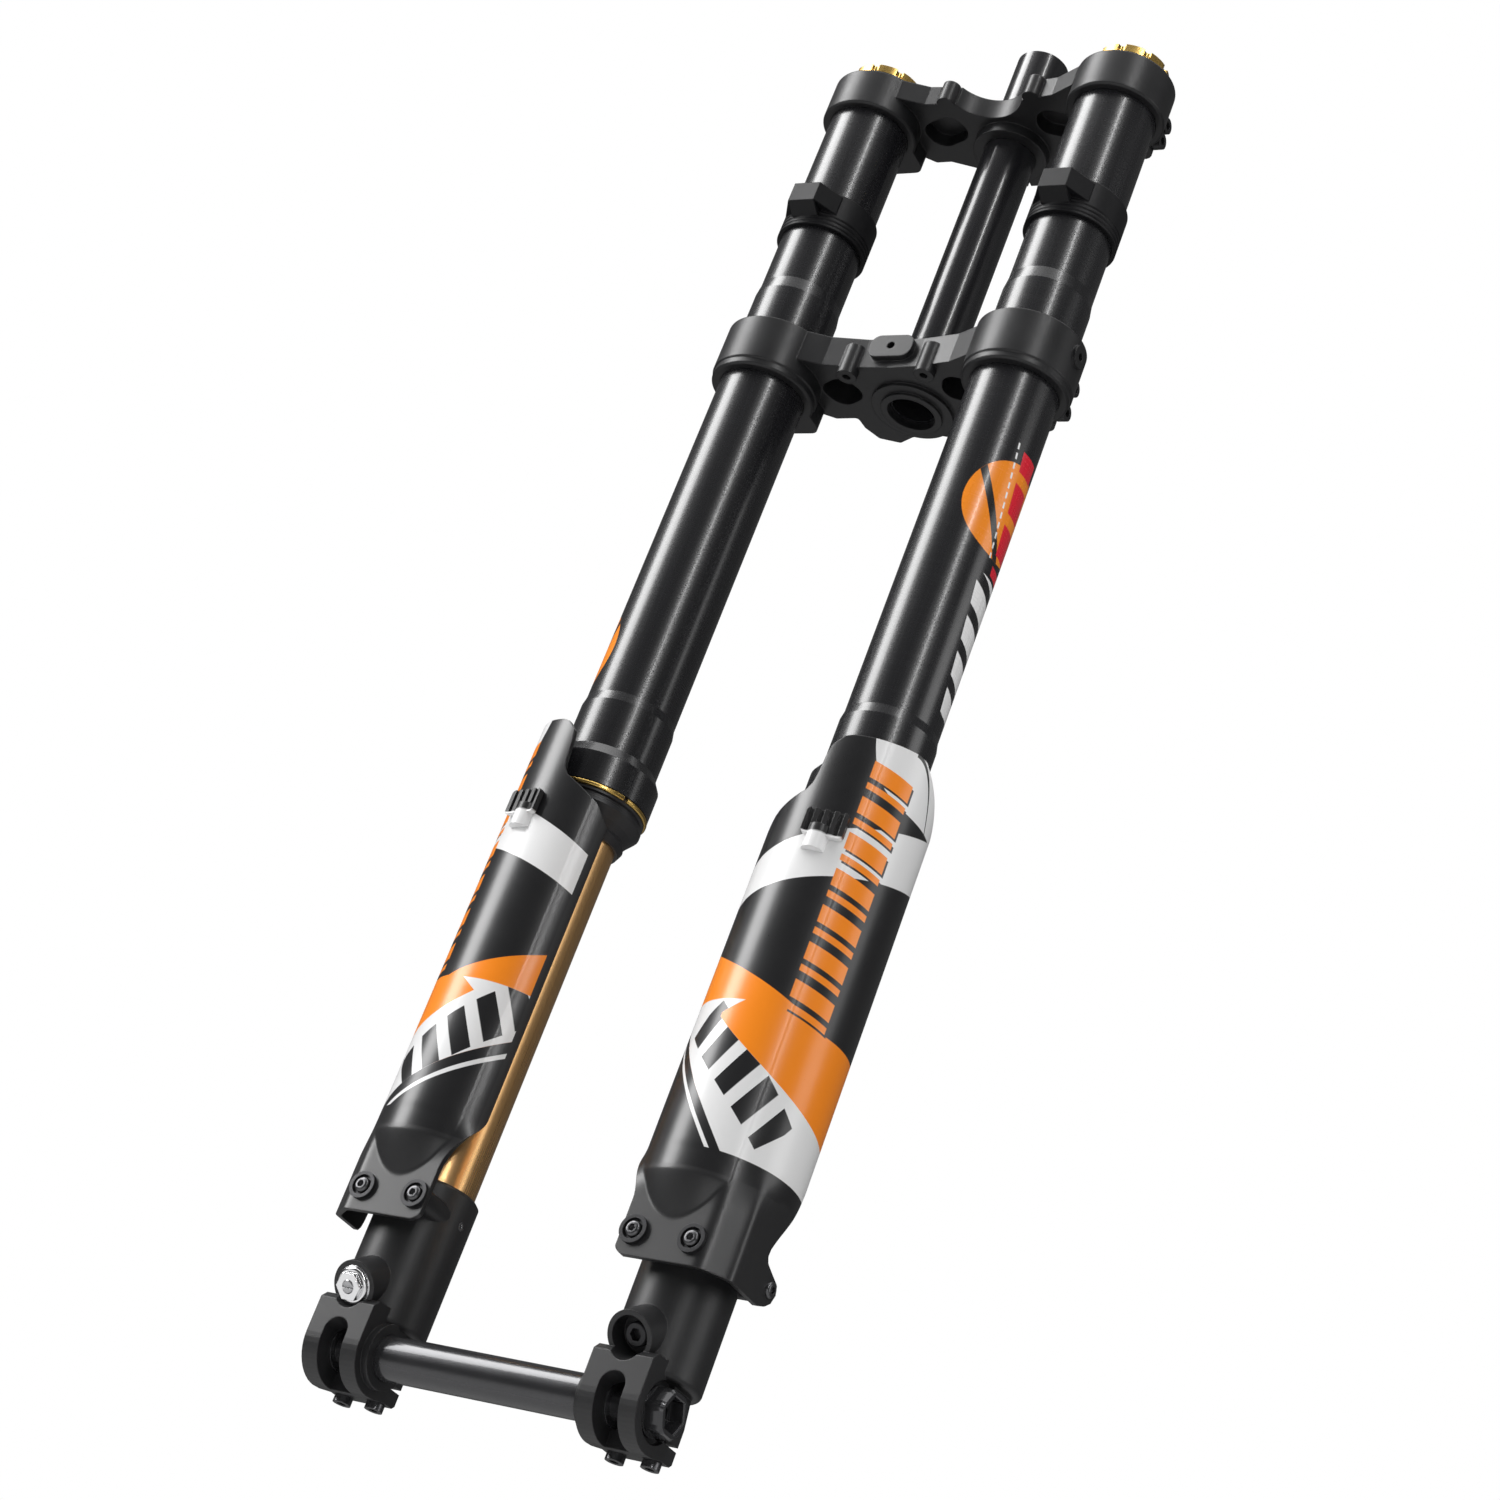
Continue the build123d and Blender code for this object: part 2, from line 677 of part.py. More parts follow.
def clamp_profile():
    """Side outline of the axle clamp, looking along X, in (y, z)."""
    front = axle_y - block_r
    steps = []
    for number in range(0, 13):
        angle = math.radians(180.0 + number * 90.0 / 12)
        steps.append((axle_y + block_r * math.cos(angle), axle_z + block_r * math.sin(angle)))
    back = axle_y + tab_reach
    tail = [
        (axle_y + 5.0, axle_z - block_r + 0.4),
        (back - 8.0, axle_z - tab_drop),
        (back - 1.5, axle_z - tab_drop),
        (back, axle_z - tab_drop + 1.5),
        (back, axle_z + 1.0),
        (back - 3.0, lug_foot + 2.0),
        (leg_y, lug_foot + 8.0),
        (front + 3.0, lug_foot + 6.5),
        (front, lug_foot + 3.5),
    ]
    return steps + tail


def axle_lug(side):
    body = leg_place(side) * rod(lug_r, lug_foot, lug_top)
    rims = body.edges().filter_by(GeomType.CIRCLE)
    body = chamfer(rims.group_by(Axis.Z)[-1], 1.6)
    body = fillet(body.edges().filter_by(GeomType.CIRCLE).group_by(Axis.Z)[0], 3.0)
    clamp = extrude(make_face(Plane.YZ * Polyline(*clamp_profile(), close=True)), lug_half_w, both=True)
    body += Pos(side * leg_x, 0, 0) * clamp
    # hub seat collar on the inner face
    inner = hub_width / 2
    face = leg_x - lug_half_w
    collar = Pos(0, axle_y, axle_z) * rod_x(collar_r, -face - 0.5, -inner)
    if side > 0:
        collar = Pos(0, axle_y, axle_z) * rod_x(collar_r, inner, face + 0.5)
    body += collar
    # angled boss
    body += boss_frame(side) * rod(boss_r, -22, 0)
    # screw bosses behind the guard foot
    for hand in (-1, 1):
        x = side * leg_x + hand * guard_bolt_spacing / 2
        body += Pos(x, 0, guard_bolt_z) * rod_y(guard_boss_r, leg_y - plate_y + plate_t, leg_y - 8)
    # stanchion socket and threaded core
    body -= leg_place(side) * rod(stanchion_r, stanchion_foot, lug_top + 1)
    # axle bore, pocket, slot
    bore_ends = sorted((side * (inner - 1), side * (leg_x + 30)))
    body -= Pos(0, axle_y, axle_z) * rod_x(axle_r + axle_play, *bore_ends)
    pocket = block(-pocket_half_w, pocket_half_w, -block_r - 2, 2.0, -block_r - 2, pocket_up)
    crown_edges = pocket.edges().filter_by(Axis.Y).group_by(Axis.Z)[-1]
    pocket = fillet(crown_edges, pocket_half_w - 0.2)
    body -= Pos(side * leg_x, axle_y, axle_z) * pocket
    slot = block(-lug_half_w - 1, lug_half_w + 1, 4.0, tab_reach + 1, -axle_slot_w / 2, axle_slot_w / 2)
    body -= Pos(side * leg_x, axle_y, axle_z - slot_drop) * slot
    for hand in (-1, 1):
        x = side * leg_x + hand * lug_bolt_spacing / 2
        spot = axle_z - tab_drop
        body -= Pos(x, axle_y + lug_bolt_y) * rod(lug_bolt_r, spot - 1, axle_z + lug_bolt_top)
        body -= Pos(x, axle_y + lug_bolt_y) * rod(lug_bolt_head_r + head_gap, spot - 12, spot)
    # recess for the axle head on the outer face
    outer = side * (leg_x + lug_half_w)
    ends = sorted((outer - side * face_recess_d, outer + side * 5))
    body -= Pos(0, axle_y, axle_z) * rod_x(face_recess_r, ends[0], ends[1])
    # bore of the angled boss
    body -= boss_frame(side) * rod(boss_bore_r, -boss_bore_d, 20)
    if side < 0:
        body -= boss_frame(side) * rod(screw_r + screw_play, -14, 0)
    # guard screw holes and the set screw hole
    for hand in (-1, 1):
        x = side * leg_x + hand * guard_bolt_spacing / 2
        body -= Pos(x, 0, guard_bolt_z) * rod_y(guard_bolt_r, leg_y - plate_y, leg_y - 21.5)
    body -= Pos(side * leg_x, leg_y, set_screw_z) * rod_x(set_screw_r, *sorted((-side * 18.6, -side * 23.0)))
    if side < 0:
        body -= leg_place(-1) * rod(rod_r, rod_foot, stanchion_foot + 1)
    if side > 0:
        # brake tab boss the guard web is screwed to
        tab = rod_x(6.0, 12.0, web_x - guard_t)
        body += Pos(leg_x, leg_y + tab_bolt_y, tab_bolt_z) * tab
        body -= Pos(leg_x, leg_y + tab_bolt_y, tab_bolt_z) * rod_x(guard_bolt_r, web_x - 10, web_x)
        body -= leg_place(side) * rod(stanchion_r, stanchion_foot, lug_top + 1)
    return body


def damper_rod():
    return leg_place(-1) * rod(rod_r, rod_foot, damper_foot + 14.0)


def damper_piston():
    low = damper_foot + 14.0
    body = rod(piston_r, low, low + piston_h)
    for number in range(6):
        angle = math.radians(number * 60)
        body -= Pos(8.0 * math.cos(angle), 8.0 * math.sin(angle)) * rod(1.6, low - 1, low + piston_h + 1)
    return leg_place(-1) * body


def foot_plug():
    """Bright hexagon plug in the left angled boss."""
    frame = boss_frame(-1)
    body = rod(boss_bore_r, -boss_bore_d, 0)
    flange = rod(boss_bore_r - 0.5, 0, plug_flange_h)
    rim = flange.edges().filter_by(GeomType.CIRCLE).group_by(Axis.Z)[-1]
    body += fillet(rim, 1.2)
    body += Pos(0, 0, plug_flange_h) * hexagon(plug_hex, plug_h)
    body -= rod(screw_r + screw_play, -boss_bore_d - 1, 12)
    return frame * body


def rebound_screw():
    frame = boss_frame(-1)
    top = plug_flange_h + plug_h
    body = rod(screw_r, top - 15.0, top + 0.4)
    rim = body.edges().filter_by(GeomType.CIRCLE).group_by(Axis.Z)[-1]
    body = chamfer(rim, 0.4)
    body -= Pos(0, 0, top + 0.4) * Box(8, 1.1, 2.0)
    return frame * body


def foot_nut():
    """Hexagon-socket nut at the bottom of the right cup."""
    frame = boss_frame(1)
    body = rod(nut_hex_r, -boss_bore_d, -boss_bore_d + 4.6)
    body = chamfer(body.edges().filter_by(GeomType.CIRCLE).group_by(Axis.Z)[-1], 0.6)
    body -= Pos(0, 0, -boss_bore_d + 1.4) * hexagon(5.0, 6)
    return frame * body


def lug_bolts(side):
    seat = axle_z - tab_drop
    bolts = []
    for hand in (-1, 1):
        x = side * leg_x + hand * lug_bolt_spacing / 2
        bolt = rod(lug_bolt_r, seat, axle_z + lug_bolt_top)
        bolt += rod(lug_bolt_head_r, seat - lug_bolt_head_h, seat)
        bolt -= Pos(0, 0, seat - lug_bolt_head_h - 0.01) * hexagon(lug_bolt_hex, 2.2)
        bolts.append(Pos(x, axle_y + lug_bolt_y) * bolt)
    return bolts


def set_screw(side):
    low, high = sorted((-side * 18.7, -side * 21.5))
    body = rod_x(set_screw_r, low, high)
    hexa = Rot(0, 90, 0) * hexagon(1.6, 1.2)
    if side < 0:
        body -= Pos(high - 1.1, 0, 0) * hexa
    else:
        body -= Pos(low - 0.1, 0, 0) * hexa
    return Pos(side * leg_x, leg_y, set_screw_z) * body


# ---------------------------------------------------------------- axle
def thru_axle():
    left_end = -leg_x - lug_half_w + face_recess_d + 0.5
    seat = leg_x + lug_half_w - face_recess_d
    head_end = leg_x + axle_head_out
    body = rod_x(axle_r, left_end, seat)
    for side in (-1, 1):
        mid = side * leg_x
        ring = rod_x(axle_r + 1, mid - axle_neck_half, mid + axle_neck_half)
        ring -= rod_x(axle_neck_r, mid - axle_neck_half - 1, mid + axle_neck_half + 1)
        body -= ring
    head = Pos(seat, 0, 0) * (Rot(0, 90, 0) * hexagon(axle_hex, head_end - seat))
    collar = rod_x(axle_hex / 2 + 1.4, seat, seat + 1.6)
    cone = rod_x(axle_hex / 2 + 0.4, head_end - 2.2, head_end)
    body += head + collar + cone
    body -= rod_x(axle_bore_r, left_end - 1, head_end + 1)
    body -= rod_x(axle_socket_r, head_end - axle_socket_d, head_end + 1)
    return Pos(0, axle_y, axle_z) * body


# ---------------------------------------------------------------- guards
def guard_shell():
    """Uncut guard wall for the +X leg, leg axis at the origin: tube above, chin below."""
    wall = tube(guard_r, guard_r - guard_t, chin_top, -240)
    chin = spin([
        (0, chin_top), (guard_r, chin_top), (plate_y - guard_shift, chin_foot), (0, chin_foot),
    ])
    chin &= block(-60, 60, -60, -plate_y + guard_shift + plate_t, chin_foot - 1, chin_top + 1)
    return Pos(0, -guard_shift, 0) * (wall + chin)


def guard(side):
    body = guard_shell()
    # flat foot
    foot = block(-plate_half_w, plate_half_w, -plate_y, -plate_y + plate_t, guard_foot, chin_top - 4)
    low = [e for e in foot.edges().filter_by(Axis.Y) if e.center().Z < guard_foot + 1]
    foot = fillet(low, 4.0)
    body += foot
    # outer web bending back from the flat foot
    mid_y = -plate_y + plate_t / 2
    reach = tab_bolt_y + 6.0 if side > 0 else -8.0
    bend = [
        (plate_half_w - 3, -plate_y),
        (plate_half_w + 1, -plate_y),
        (web_x, -plate_y + 9),
        (web_x, reach),
        (web_x - guard_t, reach),
        (web_x - guard_t, -plate_y + 10.2),
        (plate_half_w, -plate_y + plate_t),
        (plate_half_w - 3, -plate_y + plate_t),
    ]
    web = Pos(0, 0, guard_foot) * extrude(make_face(Polyline(*bend, close=True)), chin_top + 8 - guard_foot)
    body += web
    # top outline, seen from the front
    top_front = [
        (-60, -240 + 2), (-60, -308), (-29.8, -303.5), (-24.5, -294.5), (-8.6, -285.0), (-5.4, -281.5), (-4.0, -276.0),
        (-2.6, -263.0), (-0.8, -258.2), (3.5, -254.8), (10, -253.4), (20, -252.6), (32, -251.4), (60, -250), (60, -238),
    ]
    cutter = extrude(make_face(Plane.XZ * Polyline(*top_front, close=True)), 60)
    body -= cutter
    body -= Pos(0, 1, 0) * block(-60, 60, -1, 60, -251.4, -230)
    # top outline of the outer side, seen from the side
    top_side = [
        (-17, -251.2), (-14.9, -251.6), (-7, -256.7), (0.5, -263.5), (15, -278), (22, -285), (60, -285), (60, -230), (-17, -230),
    ]
    body -= Pos(10, 0, 0) * extrude(make_face(Plane.YZ * Polyline(*top_side, close=True)), 60)
    # inner edge and back edge
    body -= block(-60, -29.8, -60, 60, -520, -230)
    body -= block(-60, 0, -21.5 + 3, 60, -520, -230)
    body -= block(-60, 8, -8, 60, -520, -230)
    rear = [
        (14.5, -230), (14.5, -460), (9, -470), (0.5, -487), (0.0, -491), (5.0, -495.0), (tab_bolt_y + 3.0, -495.8),
        (tab_bolt_y + 6.2, tab_bolt_z + 0.5), (tab_bolt_y + 5.2, -506.0), (tab_bolt_y + 1.5, guard_foot + 2),
        (tab_bolt_y - 3.0, guard_foot), (-8, guard_foot - 1), (-8, -520), (60, -520), (60, -230),
    ]
    body -= Pos(8, 0, 0) * extrude(make_face(Plane.YZ * Polyline(*rear, close=True)), 60)
    # collars round the screws
    for hand in (-1, 1):
        x = hand * guard_bolt_spacing / 2
        body -= Pos(x, 0, guard_bolt_z) * rod_y(guard_bolt_r + 0.3, -60, -20)
        body -= Pos(x, 0, guard_bolt_z) * rod_y(collar_hole_r + 0.9, -60, -plate_y + 0.7)
    if side > 0:
        body -= Pos(0, tab_bolt_y, tab_bolt_z) * rod_x(guard_bolt_r + 0.3, 20, 60)
        body -= Pos(0, tab_bolt_y, tab_bolt_z) * rod_x(guard_head_r + 0.6, web_x - 0.6, 60)
    if side < 0:
        body = mirror(body, Plane.YZ)
    return leg_place(side) * body


def guard_collar(side, hand):
    """Raised ring seated in the guard foot round a screw."""
    ring = rod_y(collar_ring_r, -plate_y - collar_out, -plate_y)
    ring += rod_y(collar_hole_r + 0.9, -plate_y, -plate_y + 0.7)
    ring -= rod_y(collar_hole_r, -plate_y - collar_out - 1, -plate_y - 0.2)
    ring -= rod_y(guard_bolt_r + 0.3, -plate_y - 5, -plate_y + 5)
    return leg_place(side) * Pos(hand * guard_bolt_spacing / 2, 0, guard_bolt_z) * ring


def guard_screw():
    """Button-head screw along +Y, head seat at the origin."""
    head = rod_y(guard_head_r, -guard_head_h, 0)
    rim = head.edges().filter_by(GeomType.CIRCLE).group_by(Axis.Y)[0]
    head = fillet(rim, 1.6)
    body = head + rod_y(guard_bolt_r, 0, 8.0)
    return body - Pos(0, -guard_head_h - 0.01, 0) * (Rot(-90, 0, 0) * hexagon(3.0, 1.6))


def guard_screws():
    screws = []
    for side in (-1, 1):
        for hand in (-1, 1):
            x = side * leg_x + hand * guard_bolt_spacing / 2
            screws.append(Pos(x, leg_y - plate_y - 0.2, guard_bolt_z) * guard_screw())
    tab = Rot(0, 0, 90) * guard_screw()
    screws.append(Pos(leg_x + web_x - 0.6, leg_y + tab_bolt_y, tab_bolt_z) * tab)
    return screws


def hose_clip(side):
    """Ribbed clip on the front of a guard."""
    body = block(-10, 10, -guard_r - 2.6, -guard_r + 0.2, -7, 6)
    body = fillet(body.edges().filter_by(Axis.Y), 2.0)
    for step in range(4):
        body -= block(-8.5 + step * 4.6, -6.3 + step * 4.6, -guard_r - 4, -guard_r - 1.2, -6, 8)
    hump = Pos(-2, -guard_r + 1.0, -14) * rod(5.5, 0, 12)
    body += hump
    body -= Pos(0, 0, -30) * Cylinder(guard_r, 60, align=(Align.CENTER, Align.CENTER, Align.MIN))
    if side < 0:
        body = mirror(body, Plane.YZ)
    return leg_place(side) * Pos(0, -guard_shift, clip_z + 3) * (Rot(0, 0, side * clip_angle) * body)


def save(name, shape):
    if isinstance(shape, (list, tuple)):
        shape = Compound(children=list(shape))
    export_step(shape, "parts/" + name + ".step")


def main():
    os.makedirs("parts", exist_ok=True)
    both = (-1, 1)
    save("steerer_tube", steerer_tube())
    save("upper_crown", upper_crown())
    leg_screws = leg_bolts(-1, tube_r, upper_bolt_z) + leg_bolts(1, tube_r, upper_bolt_z)
    save("upper_crown_bolts", leg_screws + steerer_bolts())
    save("lower_crown", lower_crown())
    save("lower_crown_bolts", leg_bolts(-1, tube_low_r, lower_bolt_z) + leg_bolts(1, tube_low_r, lower_bolt_z))
    save("left_upper_tube", upper_tube(-1))
    save("right_upper_tube", upper_tube(1))
    save("left_bumper", bumper(-1))
    save("right_bumper", bumper(1))
    save("left_top_cap", top_cap(-1))
    save("right_top_cap", top_cap(1))
    save("top_cap_seals", [cap_seal(s) for s in both])
    save("compression_knob", cap_knob(-1))
    save("preload_knob", cap_knob(1))
    save("upper_bushes", [bush(s, upper_bush_z) for s in both])
    save("lower_bushes", [bush(s, lower_bush_z + 6.5) for s in both])
    save("oil_seals", [oil_seal(s) for s in both])
    save("seal_clips", [seal_ring_clip(s) for s in both])
    save("dust_wipers", [dust_wiper(s) for s in both])
    save("wiper_rings", [split_ring(s) for s in both])
    save("preload_spacer", preload_spacer())
    save("main_spring", main_spring())
    save("spring_seat", spring_seat())
    save("damper_tube", damper_tube())
    save("damper_head", damper_head())
    save("damper_rod", damper_rod())
    save("damper_piston", damper_piston())
    save("left_stanchion", stanchion(-1))
    save("right_stanchion", stanchion(1))
    save("left_axle_lug", axle_lug(-1))
    save("right_axle_lug", axle_lug(1))
    save("foot_plug", foot_plug())
    save("rebound_screw", rebound_screw())
    save("foot_nut", foot_nut())
    save("lug_pinch_bolts", lug_bolts(-1) + lug_bolts(1))
    save("lug_set_screws", [set_screw(s) for s in both])
    save("left_guard", guard(-1))
    save("right_guard", guard(1))
    save("guard_collars", [guard_collar(s, h) for s in both for h in both])
    save("guard_screws", guard_screws())
    save("hose_clips", [hose_clip(s) for s in both])
    save("thru_axle", thru_axle())


main()
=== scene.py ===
import math
import bpy
import numpy as np
from mathutils import Matrix, Vector


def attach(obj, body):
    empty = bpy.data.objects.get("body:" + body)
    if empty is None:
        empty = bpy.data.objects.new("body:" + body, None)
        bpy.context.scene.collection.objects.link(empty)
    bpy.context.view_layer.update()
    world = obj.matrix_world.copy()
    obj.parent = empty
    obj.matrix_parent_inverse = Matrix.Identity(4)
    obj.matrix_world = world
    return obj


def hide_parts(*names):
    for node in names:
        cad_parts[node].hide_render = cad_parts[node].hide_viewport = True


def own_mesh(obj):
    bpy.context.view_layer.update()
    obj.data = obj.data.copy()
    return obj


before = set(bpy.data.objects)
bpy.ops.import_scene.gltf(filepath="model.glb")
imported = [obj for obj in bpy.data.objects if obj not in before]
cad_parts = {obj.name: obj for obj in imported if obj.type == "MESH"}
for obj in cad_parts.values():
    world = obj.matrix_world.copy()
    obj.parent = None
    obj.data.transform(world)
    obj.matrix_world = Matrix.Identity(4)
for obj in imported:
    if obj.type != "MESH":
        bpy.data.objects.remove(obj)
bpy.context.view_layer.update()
print("frame loaded")

legX = 73.5          # leg axis from the middle, mm
legY = -27.5         # leg axis from the steerer axis, mm, minus is ahead
mm = 0.001           # metres in a millimetre


# shader wires: sums and products of sockets written as plain maths
class Wire:
    def __init__(self, net, socket):
        self.net = net
        self.socket = socket

    def calc(self, op, *others):
        n = self.net.tree.nodes.new("ShaderNodeMath")
        n.operation = op
        for i, item in enumerate((self,) + others):
            self.net.feed(n.inputs[i], item)
        return Wire(self.net, n.outputs[0])

    def __add__(self, o):
        return self.calc("ADD", o)

    def __radd__(self, o):
        return self.calc("ADD", o)

    def __sub__(self, o):
        return self.calc("SUBTRACT", o)

    def __rsub__(self, o):
        return (self * -1.0).calc("ADD", o)

    def __mul__(self, o):
        return self.calc("MULTIPLY", o)

    def __rmul__(self, o):
        return self.calc("MULTIPLY", o)

    def __truediv__(self, o):
        return self.calc("DIVIDE", o)

    def unit(self):
        n = self.net.tree.nodes.new("ShaderNodeClamp")
        self.net.feed(n.inputs[0], self)
        return Wire(self.net, n.outputs[0])

    def above(self, edge, soft=0.25):
        return ((self - edge) / soft + 0.5).unit()

    def below(self, edge, soft=0.25):
        return ((self * -1.0 + edge) / soft + 0.5).unit()

    def within(self, low, high, soft=0.25):
        return self.above(low, soft) * self.below(high, soft)


# one material: its node tree, its shader and short ways to make nodes
class Net:
    def __init__(self, name):
        self.mat = bpy.data.materials.new(name)
        self.mat.use_nodes = True
        self.tree = self.mat.node_tree
        self.tree.nodes.clear()
        self.out = self.tree.nodes.new("ShaderNodeOutputMaterial")
        self.shader = self.tree.nodes.new("ShaderNodeBsdfPrincipled")
        self.tree.links.new(self.shader.outputs[0], self.out.inputs[0])

    def feed(self, socket, item):
        if isinstance(item, Wire):
            self.tree.links.new(item.socket, socket)
        elif isinstance(item, bpy.types.NodeSocket):
            self.tree.links.new(item, socket)
        elif isinstance(item, (tuple, list)) and len(item) == 3 and socket.type == "RGBA":
            socket.default_value = (item[0], item[1], item[2], 1.0)
        else:
            socket.default_value = item

    def node(self, kind, settings=None, sockets=None):
        n = self.tree.nodes.new("ShaderNode" + kind)
        for key, item in (settings or {}).items():
            setattr(n, key, item)
        for key, item in (sockets or {}).items():
            self.feed(n.inputs[key], item)
        return n

    def blend(self, amount, first, second):
        n = self.node("Mix", {"data_type": "RGBA"})
        self.feed(n.inputs[0], amount)
        self.feed(n.inputs[6], first)
        self.feed(n.inputs[7], second)
        return n.outputs[2]

    def place(self):
        return self.node("TexCoord").outputs["Object"]

    def xyz(self):
        n = self.node("SeparateXYZ", None, {0: self.place()})
        return [Wire(self, n.outputs[i]) * 1000.0 for i in range(3)]

    def noise(self, scale, detail=3.0, stretch=(1, 1, 1), rough=0.55):
        m = self.node("Mapping", None, {"Vector": self.place(), "Scale": stretch})
        sockets = {"Vector": m.outputs[0], "Scale": scale, "Detail": detail, "Roughness": rough}
        n = self.node("TexNoise", None, sockets)
        return Wire(self, n.outputs[0])

    def bump(self, height, strength, depth, under=None):
        n = self.node("Bump", None, {"Strength": strength, "Distance": depth, "Height": height})
        if under is not None:
            self.feed(n.inputs["Normal"], under)
        return n.outputs[0]

    def rounded(self, radius):
        return self.node("Bevel", {"samples": 6}, {"Radius": radius}).outputs[0]

    def finish(self, colour, rough, metal=0.0, normal=None, coat=0.0, coatRough=0.1, spec=0.5):
        s = self.shader.inputs
        self.feed(s["Base Color"], colour)
        self.feed(s["Roughness"], rough)
        self.feed(s["Metallic"], metal)
        self.feed(s["Coat Weight"], coat)
        self.feed(s["Coat Roughness"], coatRough)
        self.feed(s["Specular IOR Level"], spec)
        if normal is not None:
            self.feed(s["Normal"], normal)
        return self.mat


def clad(name, material):
    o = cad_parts[name] if isinstance(name, str) else name
    o.data.materials.clear()
    o.data.materials.append(material)
    return o


# plain finishes: colour from dark to light by 0.7 broad and 0.3 fine noise; roughness is the set value plus
# small shares of both noises; bump is the fine noise over softly rounded edges
finishes = {
    "crownPaint": dict(colour=(0.012, 0.012, 0.013), spec=0.42, rough=0.38, metal=0.0,
        grain=2600, bump=0.10, edge=0.0009, vary=0.25),
    "lugPaint": dict(colour=(0.016, 0.016, 0.017), spec=0.45, rough=0.42, metal=0.0,
        grain=2200, bump=0.14, edge=0.0007, vary=0.25),
    "blackSteel": dict(colour=(0.030, 0.030, 0.032), rough=0.34, metal=0.6,
        grain=1500, bump=0.05, edge=0.0003, vary=0.3),
    "axleBlack": dict(colour=(0.045, 0.045, 0.048), rough=0.22, metal=0.5,
        grain=1500, bump=0.03, edge=0.0004, vary=0.2, coat=0.35),
    "screwBlack": dict(colour=(0.11, 0.11, 0.115), rough=0.30, metal=0.9,
        grain=900, bump=0.05, edge=0.0003, vary=0.2),
    "boltSteel": dict(colour=(0.42, 0.42, 0.43), rough=0.28, metal=1.0,
        grain=900, bump=0.05, edge=0.0003, vary=0.2),
    "brightSteel": dict(colour=(0.78, 0.78, 0.79), rough=0.14, metal=1.0,
        grain=700, bump=0.03, edge=0.0003, vary=0.12),
    "goldAnodised": dict(colour=(0.66, 0.44, 0.13), rough=0.27, metal=1.0,
        grain=900, bump=0.04, edge=0.0002, vary=0.15),
    "alloy": dict(colour=(0.62, 0.62, 0.64), rough=0.30, metal=1.0,
        grain=900, bump=0.05, edge=0.0003, vary=0.15),
    "bushBronze": dict(colour=(0.30, 0.27, 0.22), rough=0.40, metal=0.9,
        grain=1100, bump=0.05, edge=0.0002, vary=0.2),
    "bumperRubber": dict(colour=(0.006, 0.006, 0.007), spec=0.22, rough=0.46, metal=0.0,
        grain=1300, bump=0.20, edge=0.0008, vary=0.3),
    "sealRubber": dict(colour=(0.018, 0.018, 0.020), rough=0.40, metal=0.0,
        grain=1500, bump=0.10, edge=0.0003, vary=0.3),
    "springPaint": dict(colour=(0.30, 0.31, 0.33), rough=0.32, metal=0.8,
        grain=800, bump=0.05, edge=0.0, vary=0.2),
}


broadScale = 60.0         # noise cells per metre
broadRough, fineRough = 0.12, 0.08      # how far each noise moves the roughness
bumpDepth = 0.0002
plainCoatRough = 0.05


def plainFinish(key):
    f = finishes[key]
    net = Net(key)
    broad = net.noise(broadScale, 3.0)
    fine = net.noise(f["grain"], 2.0)
    dark = tuple(c * (1.0 - f["vary"]) for c in f["colour"])
    light = tuple(min(1.0, c * (1.0 + f["vary"])) for c in f["colour"])
    colour = net.blend(broad * 0.7 + fine * 0.3, dark, light)
    rough = f["rough"] + (broad - 0.5) * broadRough + (fine - 0.5) * fineRough
    under = net.rounded(f["edge"]) if f["edge"] > 0 else None
    normal = net.bump(fine, f["bump"], bumpDepth, under)
    return net.finish(colour, rough, f["metal"], normal, f.get("coat", 0.0), plainCoatRough, f.get("spec", 0.5))


made = {key: plainFinish(key) for key in finishes}
print("plain finishes made")


degrees = 57.29578        # in a radian


# angle round a leg, zero at the front and growing outwards, and height in mm
def legAngle(net, side, shift=0.0):
    x, y, z = net.xyz()
    out = x * float(side) - legX
    back = y - (legY - shift)
    angle = out.calc("ARCTAN2", back * -1.0) * degrees
    return angle, z


# black tube: two blacks mixed by a long streak, with a decal on its outer side made of a disc (inside a
# radius), one straight diagonal stroke on it, and rows of bars (a band across times repeats in height);
# roughness is a set value plus the streak and the turned rings, bump is mostly the rings
decals = {
    "angle": 84.0, "arc": 0.40, "lean": 0.10, "radius": 26.5,
    "right": dict(z=-106.0, turn=0.0),
    "left": dict(z=-201.0, turn=5.0),
    "orange": (0.93, 0.27, 0.012), "black": (0.012, 0.012, 0.012),
    "redInk": (0.72, 0.010, 0.030), "white": (0.85, 0.85, 0.85),
    "tubeDark": (0.007, 0.007, 0.008), "tubeLight": (0.012, 0.012, 0.014),
    "stroke": dict(lean=0.55, across=(-15.0, -10.5)),
    "thin": dict(across=(-5.4, -4.4), up=(-27.0, 38.0), pitch=5.5, share=0.62, soft=0.05),
    "red": dict(across=(-1.0, 12.0), up=(-34.0, 34.0), pitch=23.0, share=0.74, soft=0.03),
    "pale": dict(across=(-9.5, 12.0), up=(-112.0, -36.0), pitch=19.0, share=0.66, soft=0.03, tilt=0.3),
    "rough": 0.25, "streakRough": 0.04, "ringRough": 0.03, "bump": 0.02, "coat": 0.08, "inkCoat": 0.1,
}


def barRow(lean, up, row):
    run = up + lean * row["tilt"] if "tilt" in row else up
    repeats = (run / row["pitch"]).calc("FRACT").below(row["share"], row["soft"])
    return lean.within(*row["across"]) * up.within(*row["up"]) * repeats


